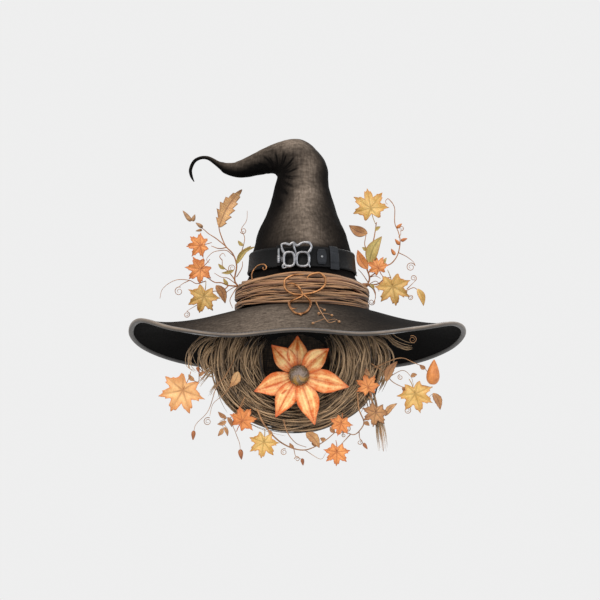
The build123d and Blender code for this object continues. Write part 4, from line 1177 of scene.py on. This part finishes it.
leafRows = {
    "left_leaf_tall": ("tan", "leaf_green", "blade", (-127, 137), (-92, 196), 25),
    "left_leaf_orange": ("orange", "leaf_orange", "maple", (-156, 109), 19.5, 96, 0.65),
    "left_maple_orange": ("orange", "leaf_orange", "maple", (-155, 72), 22, 130, 0.55),
    "left_maple_yellow": ("yellow", "leaf_yellow", "maple", (-150, 30), 25, 165, 0.5),
    "left_leaf_brown": ("brown", "leaf_brown", "blade", (-131, 47), (-117, 19), 14),
    "right_maple_top": ("yellow", "leaf_yellow", "maple", (105, 165), 28, 10, 0.45),
    "right_leaf_curled": ("brown", "leaf_brown", "blade", (100, 125), (72, 138), 16),
    "right_leaf_pointed": ("green", "leaf_green", "blade", (103, 77), (122, 121), 19),
    "right_maple_big": ("yellow", "leaf_yellow", "maple", (138, 44), 28, 190, 0.6),
    "right_leaves_orange": ("orange", "leaf_orange", "maple", (116, 73), 17, 20, 0.5),
}
extraBlades = {
    "right_maple_big": [((176, 40), (185, 14), 10)], "right_leaves_orange": [((100, 70), (85, 100), 14)],
}


def makeSpray(side, body, settings):
    y = settings["y"]
    stem, tendril, bud, small = Shape(), Shape(), Shape(), Shape()
    foot = [(x, y, sprayHeight) for x in np.linspace(*settings["foot"], 12)]
    addTube(stem, foot, 0.95, 12)
    for points, radius in settings["stems"]:
        addVine(stem, points, y, radius, 0.55, 9, 0.5)
    for points in settings["tendrils"] + settings["leads"]:
        addVine(tendril, points, y + 1.6, 0.75, 0.4)
    addSpirals(tendril, settings["spirals"], y + 1.6, (0.62, 0.3))
    addBuds(bud, settings["buds"], y - 1.2)
    for k, (start, end, width) in enumerate(settings["leaflets"]):
        addBlade(small, start, end, width, y - 1.6, 0.6, seed=k, thick=0.3)
    build(side + "SprayStem", stem, looks["stem"], body, [side + "_spray_stem"])
    build(side + "SprayTendrils", tendril, looks["stem"], body, [side + "_spray_tendrils"])
    build(side + "SprayBuds", bud, looks["budTan" if side == "left" else "bud"], body,
          [side + "_buds"])
    build(side + "SprayLeaflets", small, looks["green"], body)


def makeSprayLeaves():
    for k, (node, row) in enumerate(leafRows.items()):
        lookName, slotName, kind = row[:3]
        side = "left" if node.startswith("left") else "right"
        y = (leftSettings if side == "left" else rightSettings)["y"] - 2.6
        shape = Shape()
        if node == "left_leaf_tall":
            addBlade(shape, row[3], row[4], row[5] * 1.15, y, 0.6, 0.07, 0.12, 6, k, 0.4, 0.4)
        elif kind == "blade":
            addBlade(shape, row[3], row[4], row[5], y, 0.55, 0.1, 0.12, 5 if "brown" in node else 0, k)
        else:
            (x, z), size, spin, tone = row[3:]
            addMaple(shape, (x, y, z), size, spin, tone, 3.0, k, 0.25)
        for start, end, width in extraBlades.get(node, []):
            addBlade(shape, start, end, width, y, 0.4, 0.08, 0.1, 0, k + 30)
        name = "".join(part.capitalize() if i else part for i, part in enumerate(node.split("_")))
        build(name, shape, looks[lookName], side + "_spray", [node], weld=True)


makeSpray("left", "left_spray", leftSettings)
makeSpray("right", "right_spray", rightSettings)
makeSprayLeaves()
print("sprays made")


# Straw nest

strawSettings = {
    "centre": (-9.0, -88.0), "outer": (123.0, 101.0), "inner": (50.0, 50.0), "back": -107.5,
    "front": -131.0, "strands": 800, "samples": 18, "sides": 5, "top": -42.0, "backing": 150,
    "late share": 0.35, "radius": (0.75, 1.55), "flick share": 0.22,
}


def strawPoint(angle, share, settings):
    cx, cz = settings["centre"]
    wide = settings["inner"][0] + share * (settings["outer"][0] - settings["inner"][0])
    tall = settings["inner"][1] + share * (settings["outer"][1] - settings["inner"][1])
    return cx + wide * np.cos(angle), cz + tall * np.sin(angle)


def makeStraw(settings):
    shape = Shape()
    n, back, front = settings["samples"], settings["back"], settings["front"]
    s = np.linspace(0, 1, n)
    own = np.random.default_rng(7)
    for k in range(settings["strands"]):
        side = -1 if k % 2 else 1
        depth = own.uniform(0, 1)
        share = np.clip(own.beta(1.5, 1.3), 0.02, 0.95)
        late = own.uniform(0, 1) < settings["late share"]
        first = own.uniform(26, 44) if not late else own.uniform(-60, 20)
        sweep = own.uniform(70, 128) if not late else own.uniform(35, 75)
        angles = np.radians(first - sweep * s)
        drift = own.normal(0, 0.16)
        shares = np.clip(share + drift * s + 0.05 * np.sin(5 * s + own.uniform(0, 6)), 0.0, 1.0)
        x, z = strawPoint(angles, shares, settings)
        x = settings["centre"][0] + side * (x - settings["centre"][0])
        if own.uniform(0, 1) < settings["flick share"]:
            away = own.uniform(4, 16) * s ** 3
            x, z = x + side * away * 0.5, z - away * 0.6
        x, z = x + own.uniform(-1, 1), np.minimum(z, settings["top"] + own.uniform(-1, 1))
        y = back + (front - back) * depth + 1.6 * np.sin(4 * s + own.uniform(0, 6))
        y = np.clip(y, front - 0.5, back + 0.5)
        # Backing strands: thick strands laid at the back, dark, to fill the gaps with painted shade
        backing = k < settings["backing"]
        if backing:
            depth, y = 0.0, np.full(n, back + 0.3)
        radius = own.uniform(*settings["radius"]) * np.interp(s, [0, 0.12, 0.6, 1], [0.5, 1.0, 0.85, 0.12])
        radius = radius * (2.0 if backing else 1.0)
        # Tone: random, and lower for strands further back, as painted shade
        tone = limited(own.normal(0.22 + 0.36 * depth, 0.26))
        path = np.stack([x, y, z], axis=1)
        # Painted shade: strands darker near the top, under the brim, and further back
        shade = limited((z + 78) / 38) * 0.9 + (1 - depth) * 0.55
        shade = perRing(shade, settings["sides"])
        addTube(shape, path, radius, settings["sides"], tone=tone, vein=limited(shade))
    return shape


wispSettings = {
    "left": [
        ([(-92, -44), (-118, -48), (-136, -60), (-147, -78), (-146, -94), (-137, -102), (-128, -99)], 2.0),
        ([(-84, -44), (-112, -56), (-130, -72), (-138, -92), (-130, -104), (-120, -103)], 1.8),
        ([(-98, -43), (-126, -46), (-150, -56), (-163, -74), (-163, -92), (-155, -100)], 1.6),
        ([(-88, -44), (-116, -72), (-130, -100), (-146, -122)], 1.5),
        ([(-84, -46), (-108, -80), (-118, -110), (-134, -134)], 1.4),
        ([(-80, -48), (-98, -88), (-104, -120), (-116, -142)], 1.3),
        ([(-76, -50), (-88, -96), (-92, -128), (-95, -152)], 1.4),
        ([(-70, -60), (-80, -108), (-82, -136), (-84, -158)], 1.2),
        ([(-82, -48), (-100, -84), (-108, -110), (-122, -126)], 1.3),
    ],
    "right": [
        ([(84, -44), (108, -52), (124, -68), (126, -88), (118, -112), (110, -128)], 2.2),
        ([(80, -44), (102, -58), (114, -78), (116, -100), (112, -122)], 1.8),
        ([(92, -43), (118, -46), (132, -58), (148, -66), (158, -66)], 1.4),
        ([(76, -48), (92, -84), (98, -118), (104, -150), (110, -176)], 1.4),
        ([(72, -52), (86, -92), (92, -130), (98, -158)], 1.3),
        ([(70, -60), (80, -104), (84, -134), (92, -152)], 1.2),
    ],
}


def makeWisps(shape, rows, seed):
    own = np.random.default_rng(seed)
    for points, radius in rows:
        for k in range(7):
            moved = np.array(points, float) + own.normal(0, 2.8, (1, 2))
            moved = moved + own.normal(0, 1.0, (len(points), 2))
            y = own.uniform(-129.5, -112)
            path = evenly(planar(moved, y), 34)
            path[:, 2] = np.minimum(path[:, 2], -41.5)
            path[:, 1] += 1.2 * np.sin(np.linspace(0, 5, 34) + k)
            size = radius * (1.0 if k == 0 else 0.6)
            shade = limited((path[:, 2] + 74) / 34) * 0.8
            shade = perRing(shade, 6)
            addTube(shape, path, size * taper(34, [0, 0.3, 0.8, 1], [0.6, 1, 0.7, 0.1]), 6,
                    depth=0.5, tone=0.75 if k == 0 else own.uniform(0.4, 0.8), vein=shade)


# Painted shade: a dark straw sheet behind the strands, so the gaps between them read dark
def addShadeBacking(shape, settings):
    angles = np.radians(np.linspace(-218, 38, 120))
    ragged = 1 + 0.012 * np.sin(37 * angles) + 0.01 * np.sin(71 * angles)
    rows = []
    for share in np.linspace(0.06, 0.955, 8):
        x, z = strawPoint(angles, share, settings)
        cx, cz = settings["centre"]
        z = np.minimum(cz + (z - cz) * ragged, settings["top"] - 1)
        rows.append(np.stack([cx + (x - cx) * ragged, 0 * x + settings["back"] + 0.2, z], axis=1))
    face = np.stack(rows)
    addShell(shape, face, face + [0, 0.9, 0], tone=0.1, vein=0.75)


nestStraw = makeStraw(strawSettings)
addShadeBacking(nestStraw, strawSettings)
for number, side in enumerate(("left", "right")):
    makeWisps(nestStraw, wispSettings[side], number + 3)
build("nestStraw", nestStraw, looks["straw"], "garland", ["straw_left", "straw_right"])


def makeDisc():
    shape = Shape()
    turn = circle(72)
    radii = np.linspace(0.02, 1, 14)[:, None]
    ragged = 1 + 0.012 * np.sin(23 * turn) + 0.01 * np.sin(41 * turn)
    low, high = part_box("backing_disc")
    x, z = 500 * (low.x + high.x), 500 * (low.z + high.z)
    wide, tall = 500 * (high.x - low.x) - 1, 500 * (high.z - low.z) - 1
    face = np.stack([x + wide * radii * np.cos(turn) * ragged, -105.6 + 0 * radii * turn,
                     z + tall * radii * np.sin(turn) * ragged], axis=-1)
    addShell(shape, face, face + [0, 1.1, 0], wrap=True)
    build("burlapDisc", shape, looks["burlap"], "garland", ["backing_disc"])


makeDisc()
print("nest made")


# Flower

flowerSettings = {
    "centre": (-4.5, -110.0), "back": -137.6, "root": 6.4,
    "petals": [
        (90, 58.5, 31), (134, 60, 31), (197.5, 68.5, 34), (243, 69, 31), (286, 75, 33), (349, 74, 34),
        (40, 58.5, 31),
    ],
    "beads": 230, "rim beads": 64, "heart": 14.2, "heart back": -143.2, "heart rise": 8.2,
}


def makePetal(number, angle, length, width, settings):
    rows, columns = 46, 21
    s = np.linspace(0, 1, rows)[:, None]
    v = np.linspace(-1, 1, columns)[None, :]
    half = width / 2 * np.interp(s[:, 0], [0, 0.08, 0.2, 0.36, 0.5, 0.66, 0.8, 0.9, 0.96, 1],
                                 [0.26, 0.42, 0.74, 0.97, 1.0, 0.8, 0.46, 0.24, 0.12, 0.02])
    half = np.convolve(np.pad(half, 2, mode="edge"), [0.1, 0.2, 0.4, 0.2, 0.1], mode="valid")[:, None]
    half[-1] = 0.15
    swing = (3.4 if number % 2 else -3.0) * np.sin(np.pi * s) * 0.6 + (2.2 if number % 2 else -2.6) * s ** 3
    along = settings["root"] + s * (length - settings["root"])
    across = v * half + swing
    wavy = 1.1 * np.sin(7 * s + number * 1.7 + 2.0 * np.sign(v)) * np.abs(v) ** 3 * np.sin(np.pi * s)
    cup = 2.6 * np.abs(v) ** 1.6 * np.sin(np.pi * limited(s)) ** 0.8
    crease = -1.3 * bell(v / 0.12) * np.sin(np.pi * s) ** 0.5
    ribs = 0.28 * np.cos(v * 15) * np.sin(np.pi * s)
    rise = 3.6 * np.sin(np.pi * s * 0.95) - 5.2 * s ** 3
    depth = rise + cup + crease + wavy + ribs
    depth = np.maximum(depth, -2.2) * np.clip(s * 3.2, 0.1, 1)
    a = math.radians(angle)
    x = settings["centre"][0] + along * math.cos(a) - across * math.sin(a)
    z = settings["centre"][1] + along * math.sin(a) + across * math.cos(a)
    y = settings["back"] - number * 0.72 - depth + 0 * x
    face = np.stack([x, y, z], axis=-1)
    streak = np.abs(np.sin(v * 9.5 + 0.8 * np.sin(5 * s)))
    pale = limited(1.2 - np.abs(s - 0.5) * 2.0) * limited(1.15 - np.abs(np.abs(v) - 0.4) * 2.4)
    tone = limited(0.05 + 1.05 * pale * (0.7 + 0.3 * np.cos(v * 17 + number))
                   + 0.1 * np.sin(number * 2.1 + 9 * s))
    edge = (limited((np.abs(v) - 0.8) / 0.2) * 0.45 + limited((s - 0.82) / 0.18) * 0.8
            + limited(1 - s * 6) * 0.7)
    lines = bell(v / 0.07) * 0.8 + 0.45 * limited(1 - streak * 5)
    shape = Shape()
    addShell(shape, face, face + [0, 0.6, 0], tone=tone + 0 * x, rim=np.clip(edge, 0, 0.95) + 0 * x,
             vein=limited(lines * (1 - 0.4 * s)) + 0 * x)
    build(f"petal{number}", shape, looks["petal"], "flower", [f"petal_{number}"])


def makeHeart(settings):
    x, z = settings["centre"]
    back, radius, rise = settings["heart back"], settings["heart"], settings["heart rise"]
    shape = Shape()
    addBall(shape, (x, back - 0.6, z), (radius * 0.93, radius * 0.93, rise * 0.86), 12, 32, (0, -1, 0),
            tone=0.05)
    beads = settings["beads"]
    for k in range(beads):
        share = (k + 0.5) / beads
        reach = radius * 0.98 * math.sqrt(share)
        a = k * 2.39996  # the golden angle
        up = math.sqrt(max(0.0, 1 - share * 0.96))
        spot = (x + reach * math.cos(a), back - 0.8 - rise * 0.88 * up, z + reach * math.sin(a))
        size = 0.75 + 0.55 * (1 - share)
        lower = max(0.0, -math.sin(a)) * 0.7 + 0.3 * share
        tone = 0.95 - 0.75 * share + 0.2 * math.sin(k * 5.1)
        gold = min(1.0, max(0.0, lower * (0.6 + 0.5 * math.sin(k * 3.3))))
        addBall(shape, spot, (size, size, size), 5, 7, tone=tone, vein=gold)
    for k in range(settings["rim beads"]):
        a = 2 * math.pi * k / settings["rim beads"]
        reach = radius * (0.99 + 0.06 * math.sin(k * 2.7))
        spot = (x + reach * math.cos(a), back - 0.4 - 0.9 * (k % 2), z + reach * math.sin(a))
        addBall(shape, spot, (0.85, 0.85, 0.85), 5, 7, tone=0.05 + 0.3 * (k % 3 == 0), vein=0.1)
    build("flowerHeart", shape, looks["seed"], "flower", ["flower_heart"])


for number, row in enumerate(flowerSettings["petals"]):
    makePetal(number + 1, *row, flowerSettings)
makeHeart(flowerSettings)
print("flower made")


# Garland

garlandSettings = {
    "y": -133.6,
    "vines": [
        (
            [
                (-65, -158), (-56, -178), (-43, -195), (-29, -207), (-12, -215), (4, -217), (19, -212),
                (34, -203), (47, -192),
            ],
            1.35,
        ),
        ([(-27, -173), (-21, -192), (-9, -207), (6, -213)], 0.9),
        ([(80, -135), (82, -158), (89, -177), (82, -190), (74, -195), (63, -192), (47, -192)], 1.15),
        ([(70, -194), (58, -207), (52, -214)], 0.8), ([(82, -190), (83, -200), (88, -208)], 0.7),
        ([(-161, -110), (-156, -117), (-149, -117), (-150, -96), (-148, -110), (-140, -117)], 0.7),
        ([(-98, -86), (-112, -112), (-123, -124), (-135, -160), (-152, -179), (-156, -190)], 0.75),
        ([(-82, -140), (-99, -175), (-96, -191), (-90, -207), (-89, -217)], 0.75),
        ([(-84, -150), (-101, -169), (-109, -171), (-114, -179), (-113, -188)], 0.7),
        ([(-109, -171), (-119, -176)], 0.5), ([(-114, -179), (-107, -186)], 0.5),
        ([(100, -92), (118, -104), (130, -118), (145, -126), (160, -130)], 0.9),
        ([(125, -112), (145, -102), (157, -111), (161, -124)], 0.6),
        ([(104, -98), (140, -84), (160, -90), (178, -100), (188, -118)], 0.9),
        ([(160, -130), (172, -124), (184, -126), (188.5, -127)], 0.8),
        ([(96, -140), (104, -152), (110, -170), (115, -200), (117, -219)], 1.0),
        ([(-12, -215), (-9, -226), (-1, -230)], 0.6), ([(165, -140), (176, -146), (188, -136)], 0.6),
        ([(4, -217), (26, -230), (34, -222)], 0.5),
        ([(-98, -116), (-112, -136), (-128, -150), (-133, -168)], 0.6),
    ],
    "spirals": [
        (-26, -220, 5, 60, 1.6), (-7, -230, 4, 180, -1.4), (-136, -176, 6, 60, 1.7),
        (83, -206, 4, 90, -1.5), (66, -186, 4, 250, 1.6), (160, -57, 6, 120, -1.7), (60, -196, 3, 90, 1.5),
        (142, -112, 4, 100, 1.5), (152, -160, 5, 60, -1.6),
    ],
    "seeds": [
        ((-156, -189), (-157, -203), 6), ((-89, -216), (-87, -231), 7), ((88, -207), (94, -216), 5),
        ((0, -229), (1.5, -239.5), 5), ((-152, -97), (-148, -106), 4),
    ],
    "leaflets": [
        ((-109, -171), (-121, -162), 6), ((-109, -176), (-122, -180), 6), ((-107, -170), (-101, -184), 6),
        ((-114, -186), (-121, -197), 6), ((-112, -184), (-107, -197), 5), ((47, -192), (40, -184), 6),
        ((34, -203), (26, -200), 6), ((-43, -195), (-48, -188), 5), ((89, -177), (97, -182), 6),
        ((63, -192), (58, -186), 5), ((145, -126), (150, -136), 6), ((157, -111), (166, -108), 6),
        ((-156, -117), (-164, -108), 6), ((-148, -110), (-140, -104), 5), ((-12, -215), (-18, -207), 5),
        ((19, -212), (15, -202), 5), ((110, -170), (118, -168), 6), ((178, -100), (170, -94), 6),
    ],
    "blades": [((121, -118), (138, -89), 13), ((189, -135), (199, -159), 12), ((97, -110), (92, -99), 7)],
    "pale blades": [
        ((6, -192), (25, -214), 15), ((119, -168), (137, -150), 9), ((-92, -104), (-104, -126), 14),
    ],
    "pod": ((188, -123), (191, -86), 19), "tassel": ((108, -160), (117, -219), 26),
    "leftMaples": [((-172, -131), 33, 150, 0.6, "amber"), ((-86, -175), 20, -35, 0.4, "orange")],
    "bottomMaples": [
        ((-55, -206), 22, 170, 0.6, "yellow"), ((50, -220), 19, 178, 0.55, "orange"),
        ((56, -179), 17, 165, 0.6, "orange"),
    ],
    "rightMaples": [
        ((95, -126), 18, 15, 0.5, "orange"), ((106, -163), 20, 170, 0.5, "brown"),
        ((163, -136), 26, 195, 0.55, "yellow"),
    ],
}


def addTassel(shape, start, end, strands, seed):
    own = np.random.default_rng(seed)
    for _ in range(strands):
        spread = own.normal(0, 5.5)
        reach = own.uniform(0.55, 1.0)
        tip = np.array(start) + (np.array(end) - np.array(start)) * reach + [spread, 0]
        middle = (np.array(start) + tip) / 2 + [spread * 0.35, 0]
        path = spline(planar([start, middle, tip], -133.8 + own.uniform(-1.2, 1.2)), 14)
        addTube(shape, path, np.linspace(0.9, 0.12, 14), 5, tone=own.uniform(0.3, 0.9))


def makeGarland(settings):
    y = settings["y"]
    vine, bud, small = Shape(), Shape(), Shape()
    for points, radius in settings["vines"]:
        addVine(vine, points, y, radius, 0.45, 8, 0.5)
    addSpirals(vine, settings["spirals"], y, (0.6, 0.28))
    addBuds(bud, settings["seeds"], y)
    (startX, startZ), (endX, endZ), width = settings["pod"]
    pod = Shape()
    addBud(pod, (startX, y - 0.5, startZ), (endX, y - 0.5, endZ), width, 30, 18, tone=0.9)
    for k, (start, end, width) in enumerate(settings["leaflets"]):
        addBlade(small, start, end, width, y - 1.4, 0.4 + 0.3 * math.sin(k * 2.2), seed=k, thick=0.3)
    build("garlandVine", vine, looks["vine"], "garland", ["garland_vine"])
    build("garlandBuds", bud, looks["seedDrop"], "garland", ["garland_buds"])
    build("garlandPod", pod, looks["bud"], "garland")
    build("garlandLeaflets", small, looks["brown"], "garland")
    tassel = Shape()
    addTassel(tassel, *settings["tassel"], 5)
    build("garlandTassel", tassel, looks["straw"], "garland")


def makeGarlandLeaves(settings):
    nodes = {"left": "garland_leaves_left", "bottom": "garland_leaves_bottom",
             "right": "garland_leaves_right"}
    for group, node in nodes.items():
        for k, ((x, z), size, spin, tone, lookName) in enumerate(settings[group + "Maples"]):
            shape = Shape()
            addMaple(shape, (x, settings["y"] - 3.0, z), size, spin, tone, 2.6, k + 11, 0.2)
            build(f"{group}Maple{k + 1}", shape, looks[lookName], "garland",
                  [node] if k == 0 else [], weld=True)
    blades = Shape()
    for k, (start, end, width) in enumerate(settings["blades"]):
        addBlade(blades, start, end, width, settings["y"] - 2.2, 0.5, 0.1, 0.1, 5, k + 50)
    build("garlandBlades", blades, looks["brown"], "garland")
    pale = Shape()
    for k, (start, end, width) in enumerate(settings["pale blades"]):
        addBlade(pale, start, end, width, settings["y"] - 2.2, 0.6, 0.1, 0.1, 4, k + 60)
    build("garlandPaleLeaves", pale, looks["tan"], "garland")


makeGarland(garlandSettings)
makeGarlandLeaves(garlandSettings)
print("garland made")


# CAD pieces that stay as they are

cadLooks = {
    "brim_wire": ("steel", "steel_wire"), "crown_wire": ("steel", "steel_wire"),
    "peak_wire": ("steel", "steel_wire"), "tip_wire": ("steel", "steel_wire"),
    "sweatband": ("band", "sweatband_leather"), "buckle_bar": ("steel", "steel_wire"),
    "buckle_chape": ("belt", "belt_leather"), "spray_sockets": ("stem", "stem_wire"),
    "hanger_eyelets": ("steel", "steel_wire"), "hanger_bar": ("steel", "steel_wire"),
    "hoop": ("vine", "twig_wood"), "flower_pin": ("steel", "steel_wire"),
}

for node, (lookName, slotName) in cadLooks.items():
    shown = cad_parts[node]
    shown.data.materials.clear()
    shown.data.materials.append(looks[lookName])


# Floor, light and camera

stageSettings = {
    "floor": -0.62, "target": (-0.003, 0.0, 0.0195), "distance": 3.4, "elevation": -8.0, "lens": 135.0,
    "world": "f4f4f4", "strength": 0.95,
}
lightSettings = [
    ("keyLight", (-0.9, -2.0, 1.9), 1.1, 46.0, "fff4e8"),
    ("fillLight", (1.7, -1.9, 0.7), 1.4, 14.0, "eef4ff"),
    ("rimLight", (0.9, 1.6, 1.5), 1.0, 16.0, "ffffff"),
]


def makeStage(settings):
    bpy.ops.mesh.primitive_plane_add(size=30, location=(0, 0, settings["floor"]))
    floor = bpy.context.object
    floor.name = "studioFloor"
    look = Look("studioFloor", 0.9)
    cloud = look.cloud("dadada", "e6e6e6", 2.0, 60.0)
    look.use("Base Color", cloud["Color"])
    floor.data.materials.append(look.material)
    world = bpy.data.worlds.new("studioWorld")
    world.use_nodes = True
    world.node_tree.nodes["Background"].inputs["Color"].default_value = paint(settings["world"])
    world.node_tree.nodes["Background"].inputs["Strength"].default_value = settings["strength"]
    bpy.context.scene.world = world
    bpy.context.scene.view_settings.view_transform = "Standard"


def makeLights(rows):
    for name, place, size, power, tint in rows:
        light = bpy.data.lights.new(name, "AREA")
        light.size, light.energy, light.color = size, power, paint(tint)[:3]
        lamp = bpy.data.objects.new(name, light)
        lamp.location = place
        lamp.rotation_euler = (Vector((0, 0, 0.02)) - Vector(place)).to_track_quat("-Z", "Y").to_euler()
        bpy.context.scene.collection.objects.link(lamp)


def makeCamera(settings):
    camera = bpy.data.cameras.new("frontCamera")
    camera.lens = settings["lens"]
    camera.sensor_width = 36.0
    lift = math.radians(settings["elevation"])
    target = Vector(settings["target"])
    holder = bpy.data.objects.new("frontCamera", camera)
    holder.location = target + settings["distance"] * Vector((0, -math.cos(lift), math.sin(lift)))
    holder.rotation_euler = (target - holder.location).to_track_quat("-Z", "Y").to_euler()
    bpy.context.scene.collection.objects.link(holder)
    bpy.context.scene.camera = holder


makeStage(stageSettings)
makeLights(lightSettings)
makeCamera(stageSettings)

print("scene ready")
